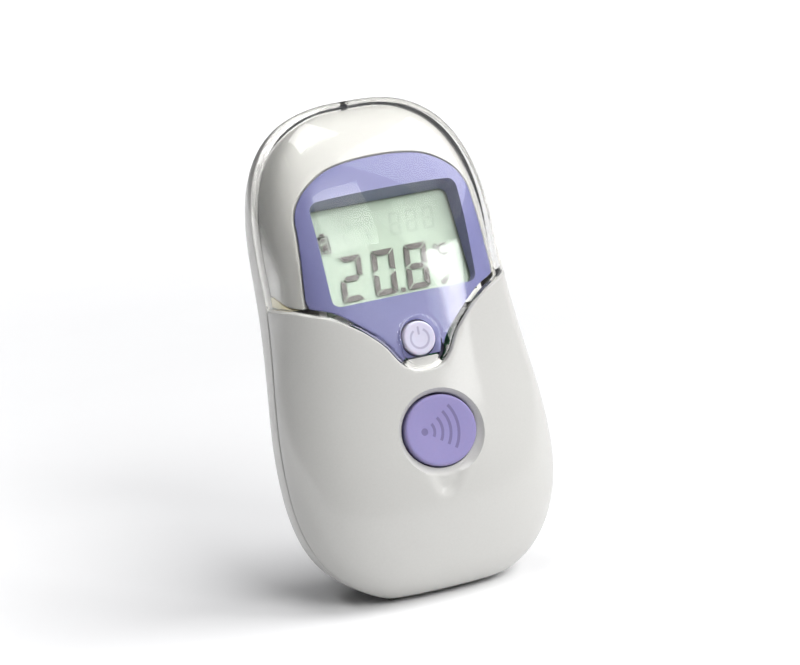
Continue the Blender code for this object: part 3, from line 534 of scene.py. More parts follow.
def prism(name, outline, low, high, axis="Z"):
    """An outline pushed along an axis. For Y its pairs are x and z, for Z they are x and y."""
    verts = []
    for level in (low, high):
        for a, b in outline:
            verts.append((a, level, b) if axis == "Y" else (a, b, level))
    count = len(outline)
    faces = [tuple(range(count)), tuple(range(2 * count - 1, count - 1, -1))]
    faces += [(i, (i + 1) % count, count + (i + 1) % count, count + i) for i in range(count)]
    return new_object(name, verts, faces)


def tilted(obj):
    """Shears a level piece so that it follows the body's tipped base."""
    for vertex in obj.data.vertices:
        vertex.co.z += vertex.co.y * math.tan(LEAN)
    return obj


def combine(obj, other, operation):
    """Applies a Boolean, which needs closed meshes, and removes the second object."""
    modifier = obj.modifiers.new(operation.lower(), "BOOLEAN")
    modifier.operation = operation
    modifier.solver = "MANIFOLD"
    modifier.object = other
    bpy.context.view_layer.update()
    graph = bpy.context.evaluated_depsgraph_get()
    mesh = bpy.data.meshes.new_from_object(obj.evaluated_get(graph))
    obj.modifiers.remove(modifier)
    obj.data = mesh
    bpy.data.objects.remove(other)
    return obj


def join(obj, other):
    return combine(obj, other, "UNION")


def cut(obj, other):
    return combine(obj, other, "DIFFERENCE")


def keep(obj, other):
    return combine(obj, other, "INTERSECT")


def bevelled(obj, width, segments=3, angle=40.0):
    """Rounds an object's sharp edges."""
    shape = bmesh.new()
    shape.from_mesh(obj.data)
    edges = [e for e in shape.edges if len(e.link_faces) == 2 and e.calc_face_angle(0) > math.radians(angle)]
    bmesh.ops.bevel(shape, geom=edges, offset=width, segments=segments, profile=0.5, affect="EDGES")
    shape.to_mesh(obj.data)
    shape.free()
    return obj


def body_solid(name, inset, rear, low=0.0, step=4.0):
    """The solid half of the body inside a given depth, used to trim inner walls."""
    loop = [(-LIMB, to_run(low)), (LIMB, to_run(low)), (LIMB, CROWN_RUN), (-LIMB, CROWN_RUN)]
    loop = resampled(np.array(loop, float), step, closed=True)
    sheet, faces, _ = filled([loop], step)
    top = on_skin(inset, rear)(sheet)
    under = top.copy()
    under[:, 1] = PARTING * (0.2 if rear else -0.2)
    count = len(sheet)
    polygons = [tuple(face) for face in faces] + [tuple(count + face[::-1]) for face in faces]
    size = len(loop)
    polygons += [((i + 1) % size, i, count + i, count + (i + 1) % size) for i in range(size)]
    return new_object(name, np.concatenate([top, under]), polygons)


def placed(obj, body, look, slot, *nodes, sharp=38.0):
    """Takes a finished mesh into the room, smooths it, gives it its materials, puts it under its body's empty and hides
    the imported pieces that it stands for.
    """
    obj.data.transform(TO_ROOM)
    for polygon in obj.data.polygons:
        polygon.use_smooth = True
    obj.data.set_sharp_from_angle(angle=math.radians(sharp))
    looks = look if isinstance(look, (list, tuple)) else [look]
    if len(looks) == 1:
        obj.data.materials.clear()
        for polygon in obj.data.polygons:
            polygon.material_index = 0
    for one in looks:
        if one.name not in obj.data.materials:
            obj.data.materials.append(one)
    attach(obj, body)
    if nodes:
        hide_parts(*nodes)
    return obj


# --- materials --------------------------------------------------------------------------------------------------------


def look(name, colour, shade, grain, roughness, spread=0.05, relief=0.0, relief_grain=None, **sockets):
    """A moulded or printed material: two tones mixed by a fine grain, uneven roughness and a shallow relief."""
    made = bpy.data.materials.new(name)
    made.use_nodes = True
    nodes, links = made.node_tree.nodes, made.node_tree.links
    shader = nodes["Principled BSDF"]
    spot = nodes.new("ShaderNodeTexCoord")

    def noise(scale, detail):
        texture = nodes.new("ShaderNodeTexNoise")
        texture.inputs["Scale"].default_value = scale
        texture.inputs["Detail"].default_value = detail
        links.new(spot.outputs["Object"], texture.inputs["Vector"])
        return texture.outputs["Fac"]

    tone = noise(grain, 3.0)
    mix = nodes.new("ShaderNodeMix")
    mix.data_type = "RGBA"
    mix.inputs["A"].default_value = (*shade, 1.0)
    mix.inputs["B"].default_value = (*colour, 1.0)
    links.new(tone, mix.inputs["Factor"])
    links.new(mix.outputs["Result"], shader.inputs["Base Color"])
    wear = nodes.new("ShaderNodeMapRange")
    wear.inputs["From Min"].default_value = 0.3
    wear.inputs["From Max"].default_value = 0.7
    wear.inputs["To Min"].default_value = max(0.0, roughness - spread)
    wear.inputs["To Max"].default_value = roughness + spread
    links.new(noise(grain * 0.23, 4.0), wear.inputs["Value"])
    links.new(wear.outputs["Result"], shader.inputs["Roughness"])
    if relief:
        bump = nodes.new("ShaderNodeBump")
        bump.inputs["Strength"].default_value = 1.0
        bump.inputs["Distance"].default_value = relief
        links.new(noise(relief_grain or grain, 2.0), bump.inputs["Height"])
        links.new(bump.outputs["Normal"], shader.inputs["Normal"])
    for socket, value in sockets.items():
        shader.inputs[socket.replace("_", " ")].default_value = value
    return made


PEARL = look(
    "pearl_white", (0.50, 0.496, 0.477), (0.46, 0.457, 0.44), 2600, 0.40, 0.03, 2e-7, 2200,
    Metallic=0.0, Coat_Weight=0.5, Coat_Roughness=0.12,
)
WHITE = look(
    "head_white", (0.37, 0.366, 0.347), (0.345, 0.341, 0.323), 1800, 0.36, 0.04, 2e-7, 1600,
    Coat_Weight=0.3, Coat_Roughness=0.2,
)
CLEAR = look(
    "clear_polycarbonate", (0.97, 0.97, 0.965), (0.955, 0.955, 0.945), 300, 0.02, 0.01,
    Transmission_Weight=1.0, IOR=1.2, Coat_Weight=1.0, Coat_Roughness=0.1,
)
CLEAR_INSIDE = look(
    "clear_polycarbonate_inside", (0.97, 0.97, 0.965), (0.955, 0.955, 0.945), 300, 0.02, 0.01,
    Transmission_Weight=1.0, IOR=1.2,
)
CREAM = look("cream_strip", (0.80, 0.73, 0.50), (0.72, 0.65, 0.43), 900, 0.5, 0.06, 3e-6, 1500)
LAVENDER = look(
    "lavender_satin", (0.115, 0.117, 0.235), (0.104, 0.106, 0.215), 1500, 0.36, 0.04, 8e-7, 2500,
    Coat_Weight=0.25, Coat_Roughness=0.2,
)
BUTTON = look(
    "lavender_button", (0.255, 0.228, 0.43), (0.235, 0.21, 0.40), 1700, 0.42, 0.05, 1.5e-6, 2600,
    Subsurface_Weight=0.1, Subsurface_Scale=0.001,
)
BUTTON_SIGN = look(
    "lavender_recess", (0.165, 0.145, 0.28), (0.15, 0.13, 0.255), 1700, 0.55, 0.05, 1.5e-6, 2600,
)
FROSTED = look(
    "frosted_lavender", (0.56, 0.545, 0.66), (0.52, 0.505, 0.62), 1500, 0.38, 0.05, 1.2e-6, 2200,
    Subsurface_Weight=0.2, Subsurface_Scale=0.002,
)
FROSTED_SIGN = look("frosted_sign", (0.38, 0.365, 0.48), (0.35, 0.335, 0.445), 1500, 0.45, 0.05, 1e-6, 2200)
LCD_BACK = look("lcd_reflector", (0.30, 0.36, 0.295), (0.277, 0.335, 0.274), 220, 0.55, 0.05)
LCD_INK = look("lcd_segment", (0.085, 0.075, 0.07), (0.065, 0.058, 0.055), 1200, 0.5, 0.05)
LCD_GHOST = look("lcd_unlit_segment", (0.265, 0.318, 0.262), (0.246, 0.297, 0.245), 1200, 0.5, 0.05)
PANE = look(
    "display_pane", (0.96, 0.97, 0.96), (0.945, 0.955, 0.945), 400, 0.03, 0.01, Transmission_Weight=1.0, IOR=1.15,
)
DIFFUSER = look("diffuser_white", (0.86, 0.86, 0.83), (0.80, 0.80, 0.77), 1200, 0.55)
NATURAL = look("natural_plastic", (0.74, 0.74, 0.70), (0.68, 0.68, 0.64), 900, 0.5, 0.06, 2e-6)
RUBBER = look("conductive_rubber", (0.05, 0.05, 0.05), (0.03, 0.03, 0.03), 3000, 0.85, 0.08, 4e-6)
BOARD = look("solder_mask", (0.02, 0.17, 0.07), (0.015, 0.13, 0.05), 700, 0.35, 0.08, 3e-6)
CHIP = look("chip_moulding", (0.035, 0.035, 0.037), (0.025, 0.025, 0.026), 3500, 0.55, 0.08, 3e-6)
STEEL = look("plated_steel", (0.70, 0.70, 0.71), (0.60, 0.60, 0.61), 2500, 0.28, 0.08, 1e-6, Metallic=1.0)
GOLD = look("plated_brass", (0.80, 0.60, 0.27), (0.70, 0.52, 0.23), 2200, 0.27, 0.07, 1e-6, Metallic=1.0)
DARK_WINDOW = look("infrared_window", (0.17, 0.18, 0.20), (0.13, 0.14, 0.16), 1500, 0.12, 0.03, Metallic=0.5)
JACKET = look("cell_jacket", (0.09, 0.22, 0.42), (0.07, 0.18, 0.36), 900, 0.33, 0.06, 1e-6, Coat_Weight=0.4)

INNER_LOOKS = {
    "lcd_diffuser": DIFFUSER, "lcd_carrier": NATURAL, "lcd_contact_strip": RUBBER, "main_board": BOARD,
    "scan_switch": CHIP, "scan_plunger": NATURAL, "power_switch": CHIP, "power_plunger": NATURAL,
    "controller_chip": CHIP, "memory_chip": CHIP, "clock_crystal": STEEL, "buzzer": CHIP, "sensor_can": STEEL,
    "sensor_sleeve": GOLD, "sensor_window": DARK_WINDOW, "sensor_bracket": NATURAL, "cell_left": JACKET,
    "cell_right": JACKET, "contact_spring_left": STEEL, "contact_plate_right": STEEL, "contact_bridge": STEEL,
    "screw_lower_left": STEEL, "screw_lower_right": STEEL, "screw_upper_left": STEEL, "screw_upper_right": STEEL,
}


def dress_inner_nodes():
    """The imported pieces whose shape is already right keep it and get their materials."""
    for node, material in INNER_LOOKS.items():
        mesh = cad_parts[node].data
        mesh.materials.clear()
        mesh.materials.append(material)


# --- covers -----------------------------------------------------------------------------------------------------------


def front_cover():
    base = resampled([(-LIMB, 0.0), (LIMB, 0.0)], FINE)
    seam = seam_line(-SEAM_GAP)[::-1]
    right = resampled([(LIMB, 0.0), (LIMB, seam[0, 1])], FINE)
    left = right[::-1] * (-1, 1)
    outline = np.concatenate([base, right[1:-1], seam, left[1:-1]])
    hole = ellipse((0, SCAN_Z), SCAN_HALF_X + SCAN_CLEARANCE, SCAN_HALF_Z + SCAN_CLEARANCE, 90)
    rings = [
        flat(*ellipse((0, CRATER_Z), share * CRATER_HALF_X, share * CRATER_HALF_Z, 130).T) for share in CRATER_RINGS
    ]
    outer = on_skin(0.0, drop=crater)
    cover = shell("front_cover_moulding", [outline, flat(*hole.T)], FINE, outer, on_skin(WALL + 0.2), creases=rings)
    edge = skin(np.linspace(-math.pi / 2, math.pi / 2, 41), 0.0, 0.3)
    inner_works = tilted(prism("floor", [(x, min(y, -0.35)) for x, y, _ in edge], 0.2, 2.4))
    for x, z in SCREW_SPOTS:
        wall = abs(float(skin(angle_at(x, z), z)[1]))
        tip, floor = -wall + 1.1, -wall + 3.4
        hollow = [(3.0, tip), (3.0, -0.6), (1.25, -0.6), (1.25, floor), (0.02, floor), (0.02, tip)]
        boss = turned("boss", hollow, (x, 0.0, z), count=32, closed=True)
        join(inner_works, keep(boss, body_solid("trim", 1.1, False)))
    join(cover, inner_works)
    middle = (SILL_TOP_Z + SILL_LOW_Z) / 2
    sill = rounded(SILL_HALF_X, middle - SILL_LOW_Z, 0.6, (0, middle))
    sill = flat(*subdivided(sill, 0.4).T)
    join(cover, shell("sill", [sill], 0.5, on_skin(LINER_DEPTH - 0.05), on_skin(LINER_BACK), 0.2))
    return placed(cover, "housing", PEARL, "pearl_cover", "front_cover")


def rear_cover():
    base = resampled([(-LIMB, 0.0), (LIMB, 0.0)], COARSE)
    right, top, left = over_the_crown(0.0)
    outline = np.concatenate([base, right[1:-1], top, left[1:-1]])
    middle = (DOOR_TOP + DOOR_BOTTOM) / 2
    opening = rounded(DOOR_HALF_X + 0.3, middle - DOOR_BOTTOM + 0.3, 2.5, (0, middle))
    hole = flat(*subdivided(opening, COARSE).T)
    cover = shell("rear_cover_moulding", [outline, hole], COARSE, on_skin(0.0, True), on_skin(WALL, True))

    works = block("tray", (-BAY_HALF_X - 3.0, 1.4, BAY_BOTTOM - 1.4), (BAY_HALF_X + 3.0, 20.0, BAY_TOP + 3.0))
    keep(works, body_solid("trim", WALL + 0.12, True, low=1.0))
    ledge = block("ledge", (-BAY_HALF_X - 3.0, 8.0, BAY_BOTTOM - 1.4), (BAY_HALF_X + 3.0, 24.0, BAY_TOP + 3.0))
    keep(ledge, body_solid("rim", WALL - 0.6, True, low=1.0))
    cut(ledge, block("inner", (-DOOR_HALF_X - 0.6, 0.0, DOOR_BOTTOM - 0.6), (DOOR_HALF_X + 0.6, 30.0, DOOR_TOP + 0.6)))
    join(works, ledge)
    cut(works, block("bay", (-BAY_HALF_X, 2.6, BAY_BOTTOM), (BAY_HALF_X, 30.0, BAY_TOP)))
    pad = [(x, y) for x, y, _ in skin(np.linspace(-math.pi / 2, math.pi / 2, 49), 0.0, 0.8, True)][::-1]
    join(works, tilted(prism("slab", pad, 0.2, 2.0)))
    foot = [
        (-12.0, 0.7), (-7.4, 0.7), (-7.4, 4.6), (7.4, 4.6), (7.4, 0.7), (12.0, 0.7), (11.0, 12.0), (8.0, 15.6),
        (-8.0, 15.6), (-11.0, 12.0),
    ]
    join(works, tilted(prism("foot", foot, -0.8, 1.0)))
    holes = turned("port", [(3.9, 90.0), (3.9, 96.0), (4.15, 101.0), (4.15, 110.0)], (0.0, SENSOR_Y, 0.0), "Z")
    for x, z in SCREW_SPOTS:
        wall = abs(float(skin(angle_at(x, z), z, 0.0, True)[1]))
        post = turned("post", [(3.2, 1.2), (3.2, wall - 0.3)], (x, 0.0, z), count=40)
        join(works, keep(post, body_solid("trim", 1.1, True)))
        join(holes, turned("hole", [(1.3, 0.0), (1.3, 5.0), (2.3, 5.0), (2.3, 30.0)], (x, 0.0, z), count=40))
    cut(join(cover, works), holes)
    return placed(cover, "housing", PEARL, "pearl_cover", "rear_cover")


def battery_door():
    middle = (DOOR_TOP + DOOR_BOTTOM) / 2
    outline = rounded(DOOR_HALF_X, middle - DOOR_BOTTOM, 2.2, (0, middle))
    loop = flat(*subdivided(outline, FINE).T)
    door = shell("battery_door_moulding", [loop], FINE, on_skin(0.0, True), on_skin(1.6, True))
    for height in (49.0, 51.0, 53.0):
        y = float(skin(0.0, height, 0.0, True)[1])
        rib = block("rib", (-4.0, y - 0.8, height - 0.35), (4.0, y + 0.35, height + 0.35))
        join(door, bevelled(rib, 0.12))
    return placed(door, "battery_door", PEARL, "pearl_cover", "battery_door")


# --- head -------------------------------------------------------------------------------------------------------------


def clear_shell():
    seam = seam_line(SEAM_GAP)
    right, top, left = over_the_crown(seam[-1, 1])
    outline = np.concatenate([seam, right[1:-1], top, left[1:-1]])
    slot = flat(*slot_outline(SLOT_HALF_X, SLOT_BOTTOM_Z, SLOT_TOP_Z, 40)[::-1].T)
    helmet = shell("clear_shell_moulding", [outline, slot], FINE, on_skin(0.0), on_skin(SHELL_WALL), 0.25)
    helmet.visible_shadow = False
    return placed(helmet, "housing", (CLEAR, CLEAR_INSIDE), "clear_shell", "clear_head_shell")


def split_at_arch(arch, seam):
    """The part of the arch that lies above the seam."""
    height = np.interp(arch[:, 0], seam[:, 0], seam[:, 1])
    return arch[arch[:, 1] > height]


def filler_line(step=FINE):
    """The head liner's lower edge: it rises from the seam towards each side, which leaves room for the fillers."""
    seam = seam_line(0.0, step)
    lift = 0.55 + 2.0 * smooth(BEZEL_HALF_BOTTOM * 1.1, LIMB, np.abs(seam[:, 0]))
    return np.stack([seam[:, 0], seam[:, 1] + lift], -1)


def head_liner():
    edge = filler_line()
    arch = split_at_arch(arch_line(0.3), edge)
    right_foot = edge[edge[:, 0] > arch[0, 0] + 0.4]
    left_foot = edge[edge[:, 0] < arch[-1, 0] - 0.4]
    right, top, left = over_the_crown(edge[-1, 1])
    outline = np.concatenate([right_foot[:-1], right, top[1:-1], left, left_foot[1:], arch[::-1]])
    liner = shell("head_liner_moulding", [outline], FINE, on_skin(LINER_DEPTH), on_skin(LINER_BACK), 0.2)
    return placed(liner, "housing", WHITE, "head_plastic", "head_liner")


def seam_filler(side):
    seam = seam_line(0.2, 0.5)
    upper = filler_line(0.5)
    upper[:, 1] -= 0.3
    low = DOMAIN * 1.07
    under = seam[(seam[:, 0] > low) & (seam[:, 0] <= LIMB)]
    over = upper[(upper[:, 0] > low) & (upper[:, 0] <= LIMB)]
    loop = np.concatenate([under, over[::-1]])
    if side < 0:
        loop = (loop * (-1, 1))[::-1]
    word = "right" if side > 0 else "left"
    strip = shell(f"seam_strip_{word}", [loop], 0.5, on_skin(LINER_DEPTH), on_skin(LINER_BACK), 0.1)
    return placed(strip, "housing", CREAM, "cream_filler", f"seam_filler_{word}")


def on_lcd(obj):
    """Turns a piece drawn with x lateral, y out of the glass and z up, from the glass centre, into the body frame."""
    up = Vector((0.0, math.sin(LCD_TILT), math.cos(LCD_TILT)))
    out = Vector((0.0, -math.cos(LCD_TILT), math.sin(LCD_TILT)))
    for vertex in obj.data.vertices:
        x, y, z = vertex.co
        vertex.co = Vector(LCD_CENTRE) + Vector((x, 0.0, 0.0)) + y * out + z * up
    face_outward(obj.data)
    return obj


def funnel(name, low, high, grow):
    """The tapered well between the bezel and the glass, or the air inside it."""
    verts, count = [], 0
    for level in (low, high):
        extra = grow + WINDOW_DRAFT * level
        ring = rounded(LCD_HALF_X + extra, LCD_HALF_Z + extra, WINDOW_CORNER + grow)
        count = len(ring)
        verts += [(x, level, z) for x, z in ring]
    faces = [tuple(range(count)), tuple(range(2 * count - 1, count - 1, -1))]
    faces += [(i, (i + 1) % count, count + (i + 1) % count, count + i) for i in range(count)]
    return on_lcd(new_object(name, verts, faces))


def display_bezel():
    seam = seam_line(BEZEL_SEAM_INSET)
    arch = split_at_arch(arch_line(0.0), seam)
    tongue = seam[(seam[:, 0] < arch[0, 0] - 0.4) & (seam[:, 0] > arch[-1, 0] + 0.4)]
    outline = np.concatenate([tongue, arch])
    bezel = shell("display_bezel_moulding", [outline], 0.7, on_skin(LINER_DEPTH), on_skin(LINER_BACK), 0.25)
    well = funnel("well", 0.3, 12.0, 0.7)
    keep(well, body_solid("trim", LINER_DEPTH + 0.5, False, low=1.0))
    join(bezel, well)
    cut(bezel, funnel("air", -3.0, 14.0, 0.0))
    cut(bezel, turned("power_hole", [(POWER_RADIUS + 0.35, -30.0), (POWER_RADIUS + 0.35, -3.0)], (0, 0, POWER_Z)))
    notch = SILL_HALF_X + SILL_GAP
    cut(bezel, block("notch", (-notch, -30.0, 38.0), (notch, -3.0, SILL_TOP_Z + SILL_GAP)))
    return placed(bezel, "housing", LAVENDER, "lavender", "display_bezel")


# --- display ----------------------------------------------------------------------------------------------------------

DIGIT_BASE = -9.2
DIGIT_HEIGHT = 9.3
DIGIT_WIDTH = 4.9
DIGIT_PITCH = 7.2
FIRST_DIGIT_X = -12.5
SEGMENT = 1.15
SLANT = 0.157
SMALL_SCALE = 0.5


def digit(segments, x, z, scale=1.0):
    """Outlines of the named segments of one slanted seven-segment digit."""
    wide, tall, thick, gap = DIGIT_WIDTH, DIGIT_HEIGHT, SEGMENT, 0.16
    half = tall / 2
    top = [(gap, tall), (wide - gap, tall), (wide - thick - gap, tall - thick), (thick + gap, tall - thick)]
    side = [(0, tall - gap), (thick, tall - thick - gap), (thick, half + thick / 2 + gap), (0, half + gap)]
    bar = [
        (thick / 2 + gap, half), (thick + gap, half + thick / 2), (wide - thick - gap, half + thick / 2),
        (wide - thick / 2 - gap, half), (wide - thick - gap, half - thick / 2), (thick + gap, half - thick / 2),
    ]
    shapes = {
        "a": top,
        "d": [(a, tall - b) for a, b in top],
        "g": bar,
        "f": side,
        "b": [(wide - a, b) for a, b in side],
        "e": [(a, tall - b) for a, b in side],
        "c": [(wide - a, tall - b) for a, b in side],
    }
    return [np.array([(x + scale * (a + SLANT * b), z + scale * b) for a, b in shapes[key]]) for key in segments]


def lcd_signs():
    """Every dark mark on the display: 20.8, the degree sign with C, a battery and a small thermometer."""
    marks = []
    for place, segments in enumerate(("abged", "abcdef", "abcdefg")):
        marks += digit(segments, FIRST_DIGIT_X + place * DIGIT_PITCH, DIGIT_BASE)
    marks.append(rounded(0.5, 0.45, 0.1, (0.75, DIGIT_BASE + 0.35), 2))
    marks.append(stroke(arc((10.15, -1.35), 0.42, 0, 350), 0.26))
    marks.append(stroke(arc((11.75, -2.15), 1.05, 50, 310), 0.42))
    battery = (-13.1, 3.35)
    frame_path = [(-1.0, -1.9), (1.15, -1.9), (1.15, 1.55), (-1.0, 1.55), (-1.0, -1.75)]
    marks.append(stroke(resampled(np.array(frame_path) + battery, 0.12), 0.22))
    marks.append(np.array([(-0.45, 1.7), (0.6, 1.7), (0.6, 2.2), (-0.45, 2.2)]) + battery)
    marks.append(np.array([(-0.6, 0.15), (0.75, 0.75), (0.75, 1.15), (-0.6, 1.15)]) + battery)
    marks.append(np.array([(-0.6, -1.5), (0.75, -1.5), (0.75, 0.25), (-0.6, -0.35)]) + battery)
    bulb, tip = np.array((9.85, -8.75)), np.array((12.0, -7.35))
    marks.append(ellipse(bulb, 0.66, 0.6, 20))
    slope = (tip - bulb) / np.hypot(*(tip - bulb))
    side = np.array((-slope[1], slope[0])) * 0.34
    tube = [bulb + side + slope * 0.5, tip + side, tip - side, bulb - side + slope * 0.5]
    marks.append(stroke(resampled(tube, 0.1), 0.17))
    marks.append(stroke(resampled([bulb, bulb + (tip - bulb) * 0.5], 0.2), 0.36))
    return marks


def lcd_ghosts():
    """The unlit marks that still show faintly: a small row of digits and two round signs."""
    marks = []
    for place in range(3):
        marks += digit("abcdefg", 1.6 + place * 3.7, 2.6, SMALL_SCALE)
    for x in (-8.3, -3.2):
        marks.append(stroke(arc((x, 6.1), 1.5, -40, 220), 0.45))
        marks.append(stroke(arc((x, 6.1), 0.7, -40, 220), 0.35))
        marks.append(stroke(resampled([(x - 0.1, 4.9), (x + 0.5, 2.4)], 0.3), 0.7))
    return marks


def flakes(name, outlines, low, high):
    """Thin flat shapes at one level of the display, in one mesh."""
    verts, faces = [], []
    for outline in outlines:
        start, count = len(verts), len(outline)
        for level in (low, high):
            verts += [(a, level, b) for a, b in outline]
        faces.append(tuple(start + k for k in range(count)))
        faces.append(tuple(start + 2 * count - 1 - k for k in range(count)))
        for i in range(count):
            here, there = start + i, start + (i + 1) % count
            faces.append((here, there, count + there, count + here))
    return on_lcd(new_object(name, verts, faces))


def display():
    """The liquid crystal cell: a reflector, the marks a little above it, which throw soft shadows, and a clear pane."""
    back = block("lcd_reflector", (-CELL_HALF_X, -1.9, -CELL_HALF_Z), (CELL_HALF_X, -0.8, CELL_HALF_Z))
    back = on_lcd(bevelled(back, 0.1))
    placed(back, "housing", LCD_BACK, "display_glass", "lcd_glass")
    placed(flakes("lcd_ghost_segments", lcd_ghosts(), -0.8, -0.78), "housing", LCD_GHOST, "display_glass")
    placed(flakes("lcd_segments", lcd_signs(), -0.34, -0.3), "housing", LCD_INK, "display_glass")
    pane = block("lcd_pane", (-CELL_HALF_X, -0.22, -CELL_HALF_Z), (CELL_HALF_X, 0.0, CELL_HALF_Z))
    pane = on_lcd(bevelled(pane, 0.06))
    pane.visible_shadow = False
    placed(pane, "housing", PANE, "display_glass")


# --- buttons ----------------------------------------------------------------------------------------------------------


def keycap(name, loop, marks, step, face, base, lip, depth, looks):
    """A button cap: a top laid over its outline, with a sign sunk or raised by depth, straight sides and a flat
    back."""
    sheet, faces, marked = filled([loop], step, lip, marks)
    short = np.clip(lip - rim_distance(sheet, [loop]), 0, lip)
    sink = lip - np.sqrt(np.maximum(lip**2 - short**2, 0))
    within = inside(sheet, marks) * smooth(0.0, 0.16, rim_distance(sheet, marks))
    top = np.stack([sheet[:, 0], face(sheet) + sink + depth * within, sheet[:, 1]], -1)
    under = np.stack([sheet[:, 0], np.full(len(sheet), base), sheet[:, 1]], -1)
    count, size = len(sheet), len(loop)
    polygons = [tuple(f) for f in faces] + [tuple(count + f[::-1]) for f in faces]
    polygons += [((i + 1) % size, i, count + i, count + (i + 1) % size) for i in range(size)]
    cap = new_object(name, np.concatenate([top, under]), polygons)
    for material in looks:
        cap.data.materials.append(material)
    for index, is_marked in enumerate(marked):
        cap.data.polygons[index].material_index = int(is_marked)
    return cap


def scan_sign():
    """A small source with waves leaving it."""
    centre = np.array((-3.6, SCAN_Z + 0.3))
    marks = [ellipse(centre, 0.75, 0.75, 24)]
    marks += [stroke(arc(centre, radius, -36, 36, 18), 0.62) for radius in (2.2, 3.95, 5.7, 7.4)]
    return marks


def scan_button():
    top = -float(front_depth(np.array(SCAN_Z))) + 0.3

    def face(sheet):
        ring = np.hypot(sheet[:, 0] / SCAN_HALF_X, (sheet[:, 1] - SCAN_Z) / SCAN_HALF_Z)
        return top + 0.22 * (1 - smooth(0.0, 0.95, ring))

    loop = ellipse((0, SCAN_Z), SCAN_HALF_X, SCAN_HALF_Z, 110)
    cap = keycap("scan_keycap", loop, scan_sign(), 0.3, face, -11.2, 0.5, 0.16, (BUTTON, BUTTON_SIGN))
    flange = ellipse((0, SCAN_Z), SCAN_HALF_X * 1.12, SCAN_HALF_Z * 1.12, 64)
    join(cap, prism("flange", flange, -12.2, -11.2001, "Y"))
    join(cap, turned("stem", [(2.0, -11.6), (2.0, -5.4)], (0, 0, SCAN_Z), count=32))
    return placed(cap, "scan_button", (BUTTON, BUTTON_SIGN), "lavender", "scan_button")


def standby_sign():
    """An open ring with a bar in its gap."""
    ring = stroke(arc((0, POWER_Z - 0.1), 1.95, 122, 418, 40), 0.46)
    bar = rounded(0.23, 0.85, 0.2, (0, POWER_Z + 1.5), 4)
    return [ring, bar]


def power_button():
    top = -float(front_depth(np.array(POWER_Z))) + 0.9

    def face(sheet):
        ring = np.hypot(sheet[:, 0], sheet[:, 1] - POWER_Z) / POWER_RADIUS
        return top + 0.12 * (1 - smooth(0.2, 0.9, ring))

    loop = ellipse((0, POWER_Z), POWER_RADIUS, POWER_RADIUS, 80)
    cap = keycap("power_keycap", loop, standby_sign(), 0.2, face, -10.9, 0.4, -0.12, (FROSTED, FROSTED_SIGN))
    skirt = [(POWER_RADIUS + 0.9, -11.2), (POWER_RADIUS + 0.9, -10.3), (1.8, -10.3), (1.8, -5.4)]
    join(cap, turned("skirt", skirt, (0, 0, POWER_Z), count=48))
    return placed(cap, "power_button", (FROSTED, FROSTED_SIGN), "frosted_lavender", "power_button")


# --- room -------------------------------------------------------------------------------------------------------------

VIEW_TURN = math.radians(23.0)
VIEW_ROLL = math.radians(11.8)
VIEW_DISTANCE = 650.0
VIEW_TARGET = Vector((0.0, -2.0, 48.0))
LENS = 144.5
VIEW_SHIFT = (0.0019, 0.0238)

# The floor ends just in front of the object and reaches far behind it
FLOOR_SIZE = 6.0
FLOOR_FRONT = 0.11
FLOOR_DROP = 0.0002
SURROUND_STRENGTH = 0.06


def camera():
    """Looks square at the body's front from the user's left, a little rolled, with a long lens."""
    back = Vector((-math.sin(VIEW_TURN), -math.cos(VIEW_TURN), 0.0))
    level = Vector((math.cos(VIEW_TURN), -math.sin(VIEW_TURN), 0.0))
    upright = Vector((0.0, 0.0, 1.0))
    right = level * math.cos(VIEW_ROLL) - upright * math.sin(VIEW_ROLL)
    up = level * math.sin(VIEW_ROLL) + upright * math.cos(VIEW_ROLL)
    axes = Matrix((right, up, back)).transposed()
    place = TO_ROOM @ (VIEW_TARGET + back * VIEW_DISTANCE)
    data = bpy.data.cameras.new("camera")
    data.sensor_width = 36.0
    data.lens = LENS
    data.shift_x, data.shift_y = VIEW_SHIFT
    data.clip_start, data.clip_end = 0.05, 20.0
    eye = bpy.data.objects.new("camera", data)
    bpy.context.scene.collection.objects.link(eye)
    eye.matrix_world = Matrix.Translation(place) @ (STAND.to_3x3() @ axes).to_4x4()
    bpy.context.scene.camera = eye


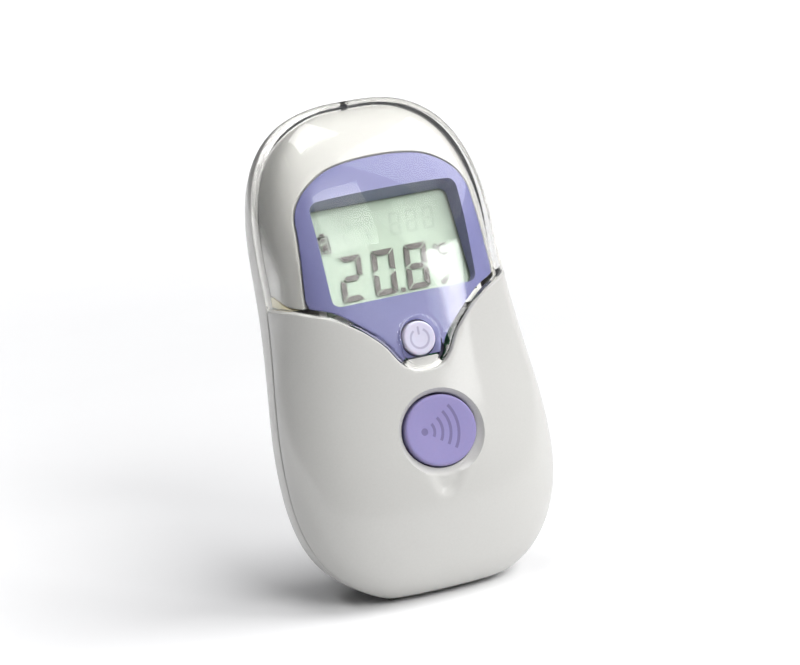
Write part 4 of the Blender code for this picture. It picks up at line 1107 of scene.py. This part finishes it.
def softbox(name, place, size, power, aim=(0.0, 0.0, 0.05), seen=True, spread=180.0):
    """A rectangular light. One that is not seen leaves no mirror image of itself in the clear plastic."""
    data = bpy.data.lights.new(name, "AREA")
    data.shape = "RECTANGLE"
    data.size, data.size_y = size
    data.energy = power
    data.spread = math.radians(spread)
    lamp = bpy.data.objects.new(name, data)
    bpy.context.scene.collection.objects.link(lamp)
    lamp.location = place
    lamp.rotation_mode = "QUATERNION"
    lamp.rotation_quaternion = (Vector(aim) - Vector(place)).to_track_quat("-Z", "Y")
    lamp.visible_camera = False
    lamp.visible_glossy = seen


def room():
    """A pale floor, soft lights above, in front and to the right, a small bright window, two lights that even out the
    floor, and a dim surrounding."""
    middle = (0, FLOOR_SIZE / 2 - FLOOR_FRONT, -FLOOR_DROP)
    bpy.ops.mesh.primitive_grid_add(x_subdivisions=2, y_subdivisions=2, size=FLOOR_SIZE, location=middle)
    floor = bpy.context.object
    floor.name = "floor"
    floor.data.materials.append(look("floor_white", (0.87, 0.87, 0.875), (0.855, 0.855, 0.86), 30, 0.7, 0.05))
    softbox("top_light", (0.03, -0.08, 1.25), (0.5, 0.65), 4.2)
    softbox("key_light", (0.15, -1.08, 0.72), (0.55, 0.5), 10.5, seen=False)
    softbox("right_light", (1.0, -0.50, 0.95), (1.3, 1.1), 23.0, seen=False)
    softbox("window_light", (0.80, -1.16, 0.37), (0.34, 0.08), 0.9)
    softbox("far_floor_light", (0.3, 1.4, 0.8), (2.4, 1.6), 17.0, (0.3, 1.4, 0.0), False, 100.0)
    softbox("left_floor_light", (-0.55, 0.0, 0.6), (0.5, 0.9), 4.6, (-0.55, 0.0, 0.0), False, 70.0)
    world = bpy.data.worlds.new("world")
    world.use_nodes = True
    surround = world.node_tree.nodes["Background"].inputs
    surround["Color"].default_value = (0.9, 0.92, 1.0, 1.0)
    surround["Strength"].default_value = SURROUND_STRENGTH
    bpy.context.scene.world = world
    bpy.context.scene.view_settings.view_transform = "Standard"


dress_inner_nodes()
front_cover()
rear_cover()
battery_door()
clear_shell()
head_liner()
seam_filler(-1)
seam_filler(1)
display_bezel()
display()
scan_button()
power_button()
room()
camera()
